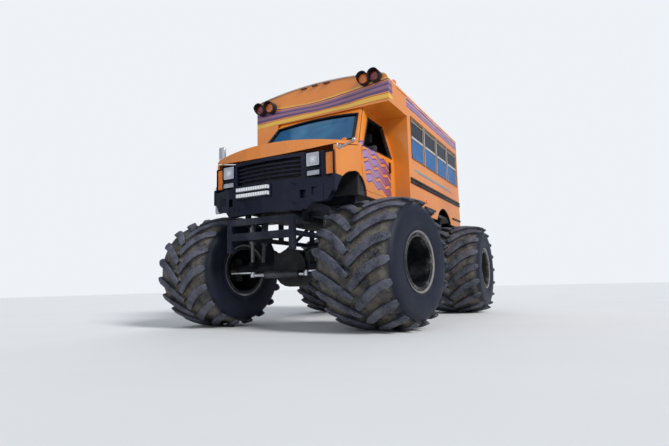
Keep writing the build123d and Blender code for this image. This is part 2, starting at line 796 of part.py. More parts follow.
# Nose: fenders, hood, grille and bumpers, the rear one drilled for a hitch plate
fender_t = 35.0
nose_half = cab_half_low - fender_t
grille_low = 1900.0
grille_high = 2260.0
nose_steps = 6
fender_side = [
    (-500, 1730),
    (-500, 2330),
    (cab_front_low, 2480),
    (cab_front_low, 1800),
    (160, 1800),
]
bumper_front = -740.0
bumper_corner = -560.0
bumper_t = 90.0
bumper_outline = [
    (-nose_half, grille_low),
    (nose_half, grille_low),
    (nose_half, 1730),
    (nose_half - 60, 1620),
    (700, 1600),
    (620, 1515),
    (-620, 1515),
    (-700, 1600),
    (-nose_half + 60, 1620),
    (-nose_half, 1730),
]
bumper_openings = [
    # inner x, outer x, low z, high z
    (540, 620, 1655, 1760),
    (690, 790, 1690, 1790),
]
wing_t = 8.0
wing_back = -290.0
wing_low = 1730.0
wing_high = 1945.0
lamp_plate_x = (-420, 150)
lamp_plate_z = (1715, 1885)
lamp_plate_t = 5.0
bumper_depth = 80.0
bumper_low = 1600.0
bumper_high = 1760.0
hitch_x = 160.0
hitch_z = 80.0
hitch_hole_r = 9.0


def nose_band(front, corner, thick, half, z0, z1, mode=Mode.ADD):
    """A band bowed in plan in a few flat steps, its middle further forward than its ends."""
    rows = [half * (2 * step / nose_steps - 1) for step in range(nose_steps + 1)]
    face = [(x, fy(front + (corner - front) * (x / half) ** 2)) for x in rows]
    back = [(x, y + thick) for x, y in face]
    with BuildSketch(Plane.XY.offset(z0)) as outline:
        with BuildLine():
            Polyline(*face, *back[::-1], close=True)
        make_face()
    extrude(outline.sketch, amount=z1 - z0, mode=mode)


with BuildPart() as fenders:
    for side in (-1, 1):
        side_prism(fender_side, side * (cab_half_low - fender_t), side * cab_half_low)
        arch_prism(side, Mode.SUBTRACT)
export(fenders, "fenders")

grille_front = -660.0
grille_corner = -500.0
grille_t = 70.0
grille_bars = (1990, 2045, 2100, 2155)
grille_bar_h = 22.0
grille_half = 520.0
front_lamps = [
    # inner x, outer x, low z, high z
    (595, 778, 2073, 2240),
    (600, 780, 1950, 2010),
]
marker_x = (843, nose_half)
marker_z = (1955, 2233)
marker_y = -500.0
with BuildPart() as grille:
    nose_band(grille_front, grille_corner, grille_t, nose_half, grille_low, grille_high)
    span(-grille_half, grille_half, -800, -300, 1945, 2215, mode=Mode.SUBTRACT)
    for z in grille_bars:
        nose_band(grille_front + 20, grille_corner - 85, 30, grille_half + 10, z, z + grille_bar_h)
    for side in (-1, 1):
        for x0, x1, z0, z1 in front_lamps:
            span(side * x0, side * x1, -700, -550, z0, z1, mode=Mode.SUBTRACT)
        span(side * marker_x[0], side * (marker_x[1] + past), -700, marker_y, *marker_z, mode=Mode.SUBTRACT)
export(grille, "grille")

hood_front = -655.0
hood_low = 2270.0
hood_edge = 2345.0
hood_back = 182.0
hood_top = 2555.0
hood_r = 70.0
hood_crown = 105.0
hood_skin = 35.0
hollow_y = (-430, 120)


def hood_form(inset, y0, y1, mode=Mode.ADD):
    """The hood's crowned section, rising from y0 to y1, or that form drawn in by its skin."""
    rise = (hood_top - hood_edge) / (hood_back - hood_front)
    ends = (cab_half_low - inset, hood_edge - inset + rise * (y0 - hood_front))
    with BuildSketch(Plane((0, fy(y0), 0), x_dir=(1, 0, 0), z_dir=(0, -1, 0))) as outline:
        with BuildLine():
            Polyline((-ends[0], ends[1]), (-ends[0], grille_low), (ends[0], grille_low), ends)
            ThreePointArc(ends, (0, ends[1] + hood_crown), (-ends[0], ends[1]))
        make_face()
        fillet(outline.vertices().group_by(Axis.Y)[-1], hood_r - inset)
    slope = Vector(0, y1 - y0, rise * (y1 - y0))
    extrude(outline.sketch, amount=slope.length, dir=slope, mode=mode)


with BuildPart() as hood:
    hood_form(0, hood_front, hood_back)
    hood_side = [
        (hood_front, hood_low),
        (hood_front, 2700),
        (hood_back, 2700),
        (hood_back, 2490),
        (-500, 2340),
    ]
    side_prism(hood_side, -cab_half_low - past, cab_half_low + past, mode=Mode.INTERSECT)
    nose_band(grille_front, grille_corner, 1200, cab_half_low, 2200, 2700, mode=Mode.INTERSECT)
    hood_form(hood_skin, *hollow_y, mode=Mode.SUBTRACT)
    for side in (-1, 1):
        near = side * (hood_hinge_x + hinge_h + joint_gap)
        far = side * (hood_hinge_x + 2 * hinge_h + joint_gap)
        span(near, far, 150, hood_hinge_y, hood_hinge_z - 60, hood_hinge_z + hinge_r)
        round_bar((near, fy(hood_hinge_y), hood_hinge_z), (far, fy(hood_hinge_y), hood_hinge_z), hinge_r)
export(hood, "hood")

radiator_y = (-535, -475)
with BuildPart() as radiator:
    span(-rail_out, rail_out, *radiator_y, rail_high, grille_high - 25)
export(radiator, "radiator")

with BuildPart() as bumper_wings:
    for side in (-1, 1):
        wing_out = side * (cab_half_low + wing_t)
        span(side * nose_half, wing_out, bumper_corner, grille_corner, wing_low, wing_high)
        span(side * cab_half_low, wing_out, grille_corner, wing_back, wing_low, wing_high)
        arch_prism(side, Mode.SUBTRACT)

with BuildPart() as bumpers:
    nose_band(bumper_front, bumper_corner, bumper_t, nose_half, 1500, grille_low)
    front_prism(bumper_outline, -800, -400, mode=Mode.INTERSECT)
    for side in (-1, 1):
        for x0, x1, z0, z1 in bumper_openings:
            span(side * x0, side * x1, -800, -500, z0, z1, mode=Mode.SUBTRACT)
    add(bumper_wings.part)
    span(*lamp_plate_x, bumper_front - lamp_plate_t, bumper_front + bumper_t, *lamp_plate_z)
    rear_half = bus_half - 70
    span(-rear_half, rear_half, rear_y, rear_y + bumper_depth, bumper_low, bumper_high)
    for x in (-hitch_x / 2, hitch_x / 2):
        for up in (-hitch_z / 2, hitch_z / 2):
            z = (bumper_low + bumper_high) / 2 + up
            hole_start = (x, fy(rear_y - past), z)
            hole_end = (x, fy(rear_y + bumper_depth + past), z)
            round_bar(hole_start, hole_end, hitch_hole_r, mode=Mode.SUBTRACT)
export(bumpers, "bumpers")

lamp_bars = (1740, 1820)
lamp_bar_h = 45.0
lamp_bar_x = (-390, 120)
lamp_bar_y = bumper_front - lamp_plate_t
with BuildPart() as clear_lamps:
    for side in (-1, 1):
        for x0, x1, z0, z1 in front_lamps:
            span(side * x0, side * x1, -590, -550, z0, z1)
    for z in lamp_bars:
        span(*lamp_bar_x, lamp_bar_y - lamp_bar_h, lamp_bar_y, z, z + lamp_bar_h)
export(clear_lamps, "clear_lamps")

warning_rows = [
    # x, z
    (-bus_half + 118, 3570),
    (-bus_half + 320, 3570),
    (bus_half - 375, 3672),
    (bus_half - 190, 3680),
]
warning_r = 85.0
warning_depth = 70.0
with BuildPart() as amber_lamps:
    for x, z in warning_rows:
        bar((x, fy(cap_y - warning_depth), z), (x, fy(cap_y), z), warning_r, 16)
    for side in (-1, 1):
        span(side * marker_x[0], side * marker_x[1], marker_y - 25, marker_y, *marker_z)
export(amber_lamps, "amber_lamps")

# Cabin: seats, dashboard with the steering wheel, and the mirrors outside
seat_x = (240, 760)
seat_low = 2130.0
seat_high = 2280.0
cabin_z = floor_z + floor_t
with BuildPart() as driver_seat:
    span(*seat_x, 850, 1350, cabin_z, seat_low)
    span(*seat_x, 850, 1400, seat_low, seat_high)
    side_prism([(1290, 2250), (1400, 2250), (1480, 2880), (1390, 2880)], 250, 750)
    side_prism([(1390, 2870), (1480, 2870), (1490, 3080), (1400, 3080)], 370, 630)
export(driver_seat, "driver_seat")

bench_rows = (1750, 2480, 3210, 3940)
bench_low = 2230.0
bench_high = 2350.0
bench_in = 300.0
bench_out = bus_half - 90
with BuildPart() as passenger_seats:
    for side in (-1, 1):
        for y in bench_rows:
            span(side * bench_in, side * bench_out, y, y + 420, bench_low, bench_high)
            back = [(y + 340, bench_low + 10), (y + 430, bench_low + 10), (y + 510, 2860), (y + 430, 2860)]
            side_prism(back, side * bench_in, side * bench_out)
            for leg_x in (bench_in + 80, bench_out - 130):
                span(side * leg_x, side * (leg_x + 60), y + 40, y + 380, cabin_z, bench_low + 10)
export(passenger_seats, "passenger_seats")

wheel_at = (480, 760, 2560)
column_foot = (480, 480, 2440)
wheel_axis = (0, 280, 120)
dash_y = cab_front_low + front_slant(wall) + seat_gap
with BuildPart() as dashboard:
    dash_side = [(dash_y, 2350), (dash_y, 2500), (330, 2560), (520, 2520), (560, 2350)]
    side_prism(dash_side, 75 - cab_half_low, cab_half_low - 75)
    foot = (column_foot[0], fy(column_foot[1]), column_foot[2])
    hub = (wheel_at[0], fy(wheel_at[1]), wheel_at[2])
    bar(foot, hub, 30)
    with BuildSketch(Plane(origin=hub, z_dir=wheel_axis)) as rim_outline:
        RegularPolygon(210, 16)
        RegularPolygon(175, 16, mode=Mode.SUBTRACT)
        Rectangle(360, 40)
    extrude(amount=24)
export(dashboard, "dashboard")

mirror_x = -cab_half_low - 125
mirror_arm_y = -260.0
mirror_arm_z = 2270.0
tube_half = 14.0
with BuildPart() as mirrors:
    span(mirror_x - 65, mirror_x + 65, -345, -300, 1650, 2060)
    span(mirror_x - 65, mirror_x + 55, -275, -230, 2480, 2680)
    bar((mirror_x, fy(-300), 1850), (mirror_x, fy(-230), 2580), tube_half)
    arm_end = (-cab_half_low, fy(mirror_arm_y), mirror_arm_z)
    bar((mirror_x, fy(mirror_arm_y), mirror_arm_z), arm_end, tube_half)
export(mirrors, "mirrors")
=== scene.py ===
from math import cos, hypot, pi, radians, sin, sqrt

import bmesh
import bpy
from mathutils import Matrix, Vector


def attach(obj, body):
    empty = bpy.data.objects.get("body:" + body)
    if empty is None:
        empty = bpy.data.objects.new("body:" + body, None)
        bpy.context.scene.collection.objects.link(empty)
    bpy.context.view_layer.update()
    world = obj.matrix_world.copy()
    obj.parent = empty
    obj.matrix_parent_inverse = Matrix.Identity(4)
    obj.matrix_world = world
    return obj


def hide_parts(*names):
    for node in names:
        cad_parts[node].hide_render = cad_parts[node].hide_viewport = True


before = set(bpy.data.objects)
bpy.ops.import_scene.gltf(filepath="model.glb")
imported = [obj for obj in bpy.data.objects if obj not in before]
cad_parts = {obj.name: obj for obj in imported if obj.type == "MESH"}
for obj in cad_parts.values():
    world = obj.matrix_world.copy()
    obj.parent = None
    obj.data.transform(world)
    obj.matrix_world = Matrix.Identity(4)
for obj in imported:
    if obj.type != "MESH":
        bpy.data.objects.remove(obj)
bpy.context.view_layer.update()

# Studio floor and backdrop
# A pale sheet of painted board that the truck stands on, under a plain pale sky. The sheet
# takes the truck's soft shadow.
scene = bpy.context.scene
scene.view_settings.view_transform = "Standard"


def sign(operation, swapped=False):
    """A method that adds one Math node after a wire."""
    def reckon(wire, other=0.0):
        left, right = (other, wire) if swapped else (wire, other)
        return wire.finish.node("ShaderNodeMath", {"operation": operation}, {0: left, 1: right})

    return reckon


class Wire:
    """A value in a material's nodes, on which Python's own signs work."""

    __add__ = __radd__ = sign("ADD")
    __sub__ = sign("SUBTRACT")
    __rsub__ = sign("SUBTRACT", swapped=True)
    __mul__ = __rmul__ = sign("MULTIPLY")
    __truediv__ = sign("DIVIDE")
    __gt__ = sign("GREATER_THAN")
    __lt__ = sign("LESS_THAN")
    __abs__ = sign("ABSOLUTE")
    root = sign("SQRT")
    larger = sign("MAXIMUM")
    # climbs from 0 to 1 over each whole number
    saw = sign("FRACT")

    def __init__(self, finish, socket):
        self.finish = finish
        self.socket = socket

    def between(self, low, high):
        return (self > low) * (self < high)

    def swell(self, low, high):
        """Goes smoothly from 0 at low to 1 at high."""
        settings = {"interpolation_type": "SMOOTHSTEP"}
        return self.finish.node("ShaderNodeMapRange", settings, {0: self, 1: low, 2: high})


class Nodes:
    """A tree of shader nodes."""

    def __init__(self, tree):
        self.tree = tree

    def node(self, kind, settings, values, output=0):
        made = self.tree.nodes.new(kind)
        for key, value in settings.items():
            setattr(made, key, value)
        for key, value in values.items():
            self.join(value, made.inputs[key])
        return Wire(self, made.outputs[output])

    def join(self, value, socket):
        if isinstance(value, Wire):
            self.tree.links.new(value.socket, socket)
        elif hasattr(value, "__len__") and len(socket.default_value) == 4:
            socket.default_value = (*value[:3], 1.0)
        else:
            socket.default_value = value

    def mix(self, factor, first, second):
        made = self.tree.nodes.new("ShaderNodeMix")
        made.data_type = "RGBA"
        sockets = {socket.identifier: socket for socket in [*made.inputs, *made.outputs]}
        for key, value in (("Factor_Float", factor), ("A_Color", first), ("B_Color", second)):
            self.join(value, sockets[key])
        return Wire(self, sockets["Result_Color"])


class Finish(Nodes):
    """One material, put together from nodes round its Principled shader."""

    def __init__(self, name, **constants):
        self.material = bpy.data.materials.new(name)
        self.material.use_nodes = True
        super().__init__(self.material.node_tree)
        self.shader = self.tree.nodes["Principled BSDF"]
        self.coordinates = None
        self.set(**constants)

    def set(self, **inputs):
        """Sets the shader's sockets; a word such as Base_Color stands for Base Color."""
        for key, value in inputs.items():
            self.join(value, self.shader.inputs[key.replace("_", " ")])

    def place(self):
        if self.coordinates is None:
            self.coordinates = self.node("ShaderNodeTexCoord", {}, {}, "Object")
        return self.coordinates

    def axes(self, spot=None):
        """The x, y and z of the place on the piece, or of another spot, in metres."""
        split = self.tree.nodes.new("ShaderNodeSeparateXYZ")
        self.join(spot or self.place(), split.inputs[0])
        return [Wire(self, output) for output in split.outputs]

    def stretched(self, scale):
        return self.node("ShaderNodeMapping", {}, {"Vector": self.place(), "Scale": scale})

    def noise(self, scale, detail=4.0, roughness=0.55, vector=None):
        values = {"Vector": vector or self.place(), "Scale": scale}
        values.update({"Detail": detail, "Roughness": roughness})
        return self.node("ShaderNodeTexNoise", {}, values, "Fac")

    def bump(self, height, distance, strength=1.0, under=None):
        values = {"Height": height, "Distance": distance, "Strength": strength}
        if under:
            values["Normal"] = under
        return self.node("ShaderNodeBump", {}, values, "Normal")


floor_size = 120.0
bpy.ops.object.select_all(action="DESELECT")
bpy.ops.mesh.primitive_plane_add(size=floor_size, location=(0, 0, 0))
floor = bpy.context.object
floor.name = "studio_floor"
board = Finish("pale_board", Roughness=0.85)
board.set(Base_Color=board.mix(board.noise(0.6), (0.70, 0.70, 0.69), (0.76, 0.76, 0.75)))
floor.data.materials.append(board.material)

world = bpy.data.worlds.new("pale_sky")
scene.world = world
world.use_nodes = True
sky = Nodes(world.node_tree)
seen = sky.node("ShaderNodeLightPath", {}, {}, "Is Camera Ray")
sky_light, sky_seen = (0.33, 0.37, 0.44), (0.86, 0.89, 0.93)
sky.join(sky.mix(seen, sky_light, sky_seen), sky.tree.nodes["Background"].inputs["Color"])

# Lamps
# One broad key lamp stands high on the driver's side, where the sun is in the photograph,
# with a wide soft lamp in front of the truck and another behind it.
lamps = [
    # name, energy, angle that it spans, direction that it shines in
    ("key", 2.9, 0.30, (-0.80, 0.22, -0.60)),
    ("front_fill", 0.40, 1.0, (0.15, 0.90, -0.40)),
    ("rear_fill", 0.7, 1.0, (0.35, -0.85, -0.45)),
]
for name, energy, angle, aim in lamps:
    lamp_data = bpy.data.lights.new("lamp_" + name, "SUN")
    lamp_data.energy = energy
    lamp_data.angle = angle
    lamp = bpy.data.objects.new("lamp_" + name, lamp_data)
    lamp.rotation_euler = Vector(aim).to_track_quat("-Z", "Y").to_euler()
    scene.collection.objects.link(lamp)

# Camera
# It stands low in front of the left front wheel and looks up at the nose, as in the photograph,
# which is 669 wide and was taken through a lens of 478 of its pixels.
photo_width = 669
focal_pixels = 477.6
camera_place = (3.727, -7.5352, 0.565)
camera_turn = (0.4991, 0.1299, -0.0240)
camera_data = bpy.data.cameras.new("camera")
camera_data.sensor_width = 36.0
camera_data.lens = camera_data.sensor_width * focal_pixels / photo_width
camera = bpy.data.objects.new("camera", camera_data)
heading, rise, roll = camera_turn
level = Matrix.Rotation(heading, 4, "Z") @ Matrix.Rotation(pi / 2 + rise, 4, "X")
camera.matrix_world = Matrix.Translation(camera_place) @ level @ Matrix.Rotation(roll, 4, "Z")
scene.collection.objects.link(camera)
scene.camera = camera

# Frame rails, beams and posts
# Square steel tube and pressed rails, welded and sprayed satin black, with a little road dust
# over the paint. The front axle is where lengths are measured from in what follows.
front_axle = -1.905959


def wear(finish, scale=3.0, low=0.42, high=0.66):
    """A patchy mask of dust, thick in places."""
    broad = finish.noise(scale, 6.0, 0.6)
    fine = finish.noise(scale * 14, 3.0, 0.7)
    return (broad * 0.7 + fine * 0.3).swell(low, high)


def painted_black(name, colour, dust, dust_share, rough=0.42, metallic=0.0):
    """Dark paint or bare metal with dust over it."""
    finish = Finish(name, Specular_IOR_Level=0.2)
    mask = wear(finish) * dust_share
    finish.set(
        Base_Color=finish.mix(mask, colour, dust),
        Roughness=mask * 0.4 + rough,
        Metallic=(1.0 - mask) * metallic,
        Normal=finish.bump(finish.noise(160.0, 2.0), 0.002, 0.25),
    )
    return finish


def coat_node(finish, *names):
    """Gives a carried-over piece its finish."""
    for name in names:
        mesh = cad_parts[name].data
        mesh.materials.clear()
        mesh.materials.append(finish.material)


dust_tan = (0.30, 0.235, 0.165)
dust_grey = (0.16, 0.16, 0.175)
frame_paint = painted_black("frame_paint", (0.007, 0.009, 0.018), dust_grey, 0.18)
coat_node(frame_paint, "frame_rails", "frame_beams", "frame_posts")

# Axles and knuckles
# Cast steel axle housings with their differential cases, brushed black and caked with dust
# where the tyres throw it. The knuckles are steel castings on kingpins.
dust_dark = (0.09, 0.078, 0.066)
axle_paint = painted_black("axle_paint", (0.009, 0.010, 0.014), dust_dark, 0.4, 0.5)
coat_node(axle_paint, "front_axle", "rear_axle", "knuckle_left", "knuckle_right")

# Suspension links and shock absorbers
# Long welded tube links, and gas shock absorbers with bright steel bodies and chromed rods,
# bolted between the axles and the frame.
link_paint = painted_black("link_paint", (0.02, 0.022, 0.028), dust_grey, 0.5, 0.4)
oily_dust = (0.07, 0.063, 0.056)
shock_metal = painted_black("shock_metal", (0.16, 0.165, 0.18), oily_dust, 0.7, 0.32, 0.9)
coat_node(link_paint, "suspension_links")
coat_node(shock_metal, "shock_absorbers")

# Engine, radiator and driveline
# The engine is one plain block of cast iron, oily and dark, behind a radiator with thin
# upright fins; the gearbox, transfer case and shafts are bare castings and steel tube.
iron = painted_black("cast_iron", (0.035, 0.036, 0.04), (0.10, 0.085, 0.07), 0.6, 0.5, 0.5)
coat_node(iron, "engine_block", "driveline")
fins = Finish("radiator_fins", Metallic=0.6)
fins_a_metre = 160.0
fin_rows = (fins.axes()[0] * fins_a_metre).saw() > 0.45
fins.set(
    Base_Color=fins.mix(wear(fins) * 0.5, (0.018, 0.018, 0.02), (0.12, 0.10, 0.08)),
    Roughness=fins.noise(30.0) * 0.2 + 0.45,
    Normal=fins.bump(fin_rows, 0.003, 0.5),
)
coat_node(fins, "radiator")

# Steering ram, rod and drag links
# A double-ended hydraulic ram across the axle with a chromed rod, and two flat forged links
# that it pushes and pulls the knuckles with.
ram_chrome = painted_black("ram_chrome", (0.55, 0.56, 0.60), (0.14, 0.12, 0.10), 0.6, 0.16, 1.0)
ram_body = painted_black("ram_body", (0.05, 0.052, 0.058), dust_grey, 0.5, 0.35, 0.8)
coat_node(ram_chrome, "ram_rod", "drag_link_left", "drag_link_right")
coat_node(ram_body, "steering_ram")

# Rims
# Deep steel rims, rolled and welded to a thick centre disc, painted black. The disc is bolted
# to a planetary hub, and a ring of bolts clamps the outer flange.
wheelbase = 3.6435
steered = -8.7
wheel_corners = [
    # name, side, axle behind the front one, steering in degrees
    ("front_left", 1, 0.0, steered),
    ("front_right", -1, 0.0, steered),
    ("rear_left", 1, wheelbase, 0.0),
    ("rear_right", -1, wheelbase, 0.0),
]
kingpin_x = 1.120
wheel_out = 0.240
axle_z = 0.823
rim_profile = [
    # outboard of the wheel's middle, radius
    (0.500, 0.318), (0.505, 0.347), (0.513, 0.353), (0.521, 0.347), (0.521, 0.318),
    (0.512, 0.304), (0.470, 0.300), (0.300, 0.296), (0.120, 0.285), (-0.008, 0.283),
    (-0.026, 0.270), (-0.028, 0.205), (-0.010, 0.170), (0.030, 0.156), (0.066, 0.150),
    (0.080, 0.143), (0.088, 0.128), (0.088, 0.055), (-0.090, 0.055), (-0.090, 0.108),
    (-0.052, 0.112), (-0.052, 0.275), (-0.100, 0.290), (-0.470, 0.300), (-0.512, 0.304),
    (-0.521, 0.318), (-0.521, 0.347), (-0.513, 0.353), (-0.505, 0.347), (-0.500, 0.318),
]


def picked(*pieces):
    """Makes these pieces the whole selection, with the first of them active."""
    bpy.ops.object.select_all(action="DESELECT")
    for piece in pieces:
        piece.select_set(True)
    bpy.context.view_layer.objects.active = pieces[0]


def edited(*steps):
    """Runs mesh operators one after another, each on the whole of the active piece."""
    bpy.ops.object.mode_set(mode="EDIT")
    for operator, settings in steps:
        bpy.ops.mesh.select_all(action="SELECT")
        operator(**settings)
    bpy.ops.object.mode_set(mode="OBJECT")


def added(primitive, name, **settings):
    """A new primitive, alone in the selection."""
    bpy.ops.object.select_all(action="DESELECT")
    primitive(**settings)
    piece = bpy.context.object
    piece.name = name
    return piece


def settled(piece, matrix=None):
    """Moves a piece, and leaves its object at the origin with its place in its mesh."""
    if matrix:
        piece.matrix_world = matrix @ piece.matrix_world
    picked(piece)
    bpy.ops.object.transform_apply(location=True, rotation=True, scale=True)
    return piece


def finished(piece, kind, **settings):
    """Adds a modifier and applies it."""
    modifier = piece.modifiers.new("shaping", kind)
    for key, value in settings.items():
        setattr(modifier, key, value)
    bpy.context.view_layer.objects.active = piece
    bpy.ops.object.modifier_apply(modifier=modifier.name)
    return piece


def turned(name, profile, steps, smooth=40):
    """Turns a closed profile, given along the x axis and in radius, about that axis."""
    piece = added(bpy.ops.mesh.primitive_circle_add, name, vertices=len(profile), radius=1)
    for vertex, (along, radius) in zip(piece.data.vertices, profile):
        vertex.co = (along, 0, radius)
    about_x = {"steps": steps, "angle": 2 * pi, "center": (0, 0, 0), "axis": (1, 0, 0)}
    edited(
        (bpy.ops.mesh.spin, about_x),
        (bpy.ops.mesh.remove_doubles, {"threshold": 0.00002}),
        (bpy.ops.mesh.delete_loose, {}),
        (bpy.ops.mesh.normals_make_consistent, {"inside": False}),
    )
    bpy.ops.object.shade_smooth_by_angle(angle=radians(smooth))
    return piece


def bolt_head(name, head_r, head_h, spot, rotation):
    """One hexagon bolt head."""
    size = {"vertices": 6, "radius": head_r, "depth": head_h}
    cylinder = bpy.ops.mesh.primitive_cylinder_add
    return settled(added(cylinder, name, location=spot, rotation=rotation, **size))


def bolt_ring(name, count, ring_r, along, head_r, head_h):
    """Bolt heads in a ring about the x axis, facing outboard."""
    heads = []
    for place in range(count):
        angle = 2 * pi * place / count
        spot = (along + head_h / 2, ring_r * cos(angle), ring_r * sin(angle))
        heads.append(bolt_head(name, head_r, head_h, spot, (0, pi / 2, 0)))
    return finished(joined(name, heads), "BEVEL", width=head_r * 0.15, segments=1)


def joined(name, pieces):
    picked(*pieces)
    if len(pieces) > 1:
        bpy.ops.object.join()
    whole = bpy.context.view_layer.objects.active
    whole.name = name
    return whole


def copied(piece, name, matrix):
    """A copy with its own mesh, moved as the matrix says."""
    copy = piece.copy()
    copy.data = piece.data.copy()
    copy.name = name
    scene.collection.objects.link(copy)
    copy.data.transform(matrix)
    if matrix.determinant() < 0:
        copy.data.flip_normals()
    return copy


def dressed(piece, finish, body):
    """Gives a piece its finish, and lets it move with a body."""
    piece.data.materials.clear()
    piece.data.materials.append(finish.material)
    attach(piece, body)
    return piece


def fitted(name, pieces, finish, body="chassis"):
    """Joins parts to one piece that is dressed and rides on a body."""
    return dressed(joined(name, pieces), finish, body)


def removed(*pieces):
    for piece in pieces:
        bpy.data.objects.remove(piece, do_unlink=True)


def wheel_place(side, axle, steering):
    kingpin = Matrix.Translation((side * kingpin_x, front_axle + axle, axle_z))
    turned_in = Matrix.Rotation(radians(steering), 4, "Z")
    return kingpin @ turned_in @ Matrix.Translation((side * wheel_out, 0, 0))


rim_paint = Finish("rim_paint")
flange_near_x, flange_far_x = 1.82, 1.87
rim_out = abs(rim_paint.axes()[0]).swell(flange_near_x, flange_far_x)
rim_dust = wear(rim_paint, 4.0)
# Nearly black inside the dish and paler towards the outer flange.
paler_outboard = rim_dust * (rim_out * 0.6 + 0.10)
rim_paint.set(
    Base_Color=rim_paint.mix(paler_outboard, (0.006, 0.007, 0.010), (0.24, 0.225, 0.21)),
    Roughness=rim_dust * 0.3 + 0.38,
    Metallic=(1.0 - rim_dust) * 0.3,
    Normal=rim_paint.bump(rim_paint.noise(90.0), 0.002, 0.3),
)
bolt_rings = [
    # name, count, the ring's radius, its place along the axle, a head's radius and height
    ("disc_bolts", 20, 0.238, -0.029, 0.017, 0.018),
    ("hub_bolts", 12, 0.105, 0.087, 0.012, 0.012),
    ("flange_bolts", 32, 0.3325, 0.520, 0.010, 0.008),
]
rim_parts = [turned("rim_form", rim_profile, 72), *(bolt_ring(*ring) for ring in bolt_rings)]
rim_form = joined("rim_form", rim_parts)
for name, side, axle, steering in wheel_corners:
    facing = Matrix.Rotation(0 if side > 0 else pi, 4, "Z")
    rim = copied(rim_form, "wheel_rim_" + name, wheel_place(side, axle, steering) @ facing)
    dressed(rim, rim_paint, "wheel_" + name)
    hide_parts("rim_" + name)
removed(rim_form)

# Tyres
# Wide flotation tyres of black rubber, moulded with two rows of curved bars that lean
# towards each other and run out over the shoulder, with dry dust packed between the bars.
bar_count = 18
bar_top_r, bar_depth, arc_r = 0.8215, 0.090, 0.80
bar_half_w, bar_widening, bar_draft = 0.061, 0.015, 0.22
bar_edge_drop, bar_end_drop, bar_round_share = 0.009, 0.012, 0.38
shoulder_x, shoulder_w, shoulder_drop, shoulder_lean = 0.24, 0.31, 0.058, radians(58)
bar_points = [
    # where a bar's middle starts, passes and ends: from the tyre's middle, and along its girth
    (0.006, -0.172), (0.270, 0.050), (0.548, 0.172),
]
carcass_half = [
    # outboard of the middle, radius
    (0.000, 0.757), (0.150, 0.757), (0.300, 0.754), (0.390, 0.748), (0.450, 0.736), (0.498, 0.712),
    (0.530, 0.676), (0.545, 0.632), (0.548, 0.580), (0.546, 0.520), (0.540, 0.465), (0.532, 0.432),
    (0.527, 0.424), (0.524, 0.402), (0.530, 0.394), (0.529, 0.376), (0.521, 0.362), (0.515, 0.350),
    (0.502, 0.345), (0.497, 0.330), (0.490, 0.319),
]


def read_off(points, x, beyond):
    """The height at x of a line through points, and another value beyond its end."""
    for (x0, y0), (x1, y1) in zip(points, points[1:]):
        if x0 <= x <= x1:
            return y0 + (y1 - y0) * (x - x0) / (x1 - x0)
    return beyond


def bar_line(t):
    """The bar's middle at a share of its length, on a curve through its three points."""
    keep = [(1 - t) * (1 - 2 * t), 4 * t * (1 - t), t * (2 * t - 1)]
    return [sum(k * point[axis] for k, point in zip(keep, bar_points)) for axis in (0, 1)]


tyre_bar = added(bpy.ops.mesh.primitive_cube_add, "tyre_bar", size=2)
edited((bpy.ops.mesh.subdivide, {"number_cuts": 7}))
for vertex in tyre_bar.data.vertices:
    along, across, height = vertex.co
    t = (along + 1) / 2
    x, girth = bar_line(t)
    ahead_x, ahead_girth = bar_line(t + 0.01)
    step = hypot(ahead_x - x, ahead_girth - girth)
    lean_x, lean_girth = -(ahead_girth - girth) / step, (ahead_x - x) / step
    end = max(0.0, abs(along) - (1 - bar_round_share)) / bar_round_share
    narrow = sqrt(1 - (0.80 if along > 0 else 0.45) * end ** 3)
    lift = (height + 1) / 2
    half = (bar_half_w + bar_widening * t) * narrow * (1 - bar_draft * lift)
    side_x, side_girth = x + lean_x * half * across, girth + lean_girth * half * across
    fall = max(0.0, (side_x - shoulder_x) / shoulder_w)
    rounding = bar_edge_drop * across ** 6 + bar_end_drop * end ** 4
    top = bar_top_r - shoulder_drop * fall ** 1.3 - rounding
    tilt = shoulder_lean * min(1.0, max(0.0, fall - 0.35) / 0.65) ** 1.2
    depth = (1 - lift) * bar_depth
    place_r = top - cos(tilt) * depth
    turn = side_girth / arc_r
    vertex.co = (side_x - sin(tilt) * depth, place_r * sin(turn), place_r * cos(turn))
edited((bpy.ops.mesh.normals_make_consistent, {"inside": False}))
bars = []
other_side = Matrix.Scale(-1, 4, (1, 0, 0))
for place in range(bar_count):
    turn = Matrix.Rotation(2 * pi * place / bar_count, 4, "X")
    half_on = Matrix.Rotation(2 * pi * (place + 0.5) / bar_count, 4, "X")
    bars += [copied(tyre_bar, "bar", turn), copied(tyre_bar, "bar", half_on @ other_side)]
removed(tyre_bar)
carcass = [(x, r) for x, r in carcass_half] + [(-x, r) for x, r in reversed(carcass_half[1:])]
tyre_form = joined("tyre_form", [turned("carcass", carcass, 96, 60), *bars])
bpy.ops.object.shade_smooth_by_angle(angle=radians(50))
sidewall_r = 0.632
place_on = tyre_form.data.attributes.new("wheel_place", "FLOAT_VECTOR", "POINT")
for vertex, spot in zip(tyre_form.data.vertices, place_on.data):
    x, r = abs(vertex.co.x), hypot(vertex.co.y, vertex.co.z)
    spot.vector = (x, r, max(0.0, r - read_off(carcass_half, x, sidewall_r)))


def between_rows(value, rows):
    """One mask for several bands of a value."""
    return sum(value.between(*row) for row in rows)


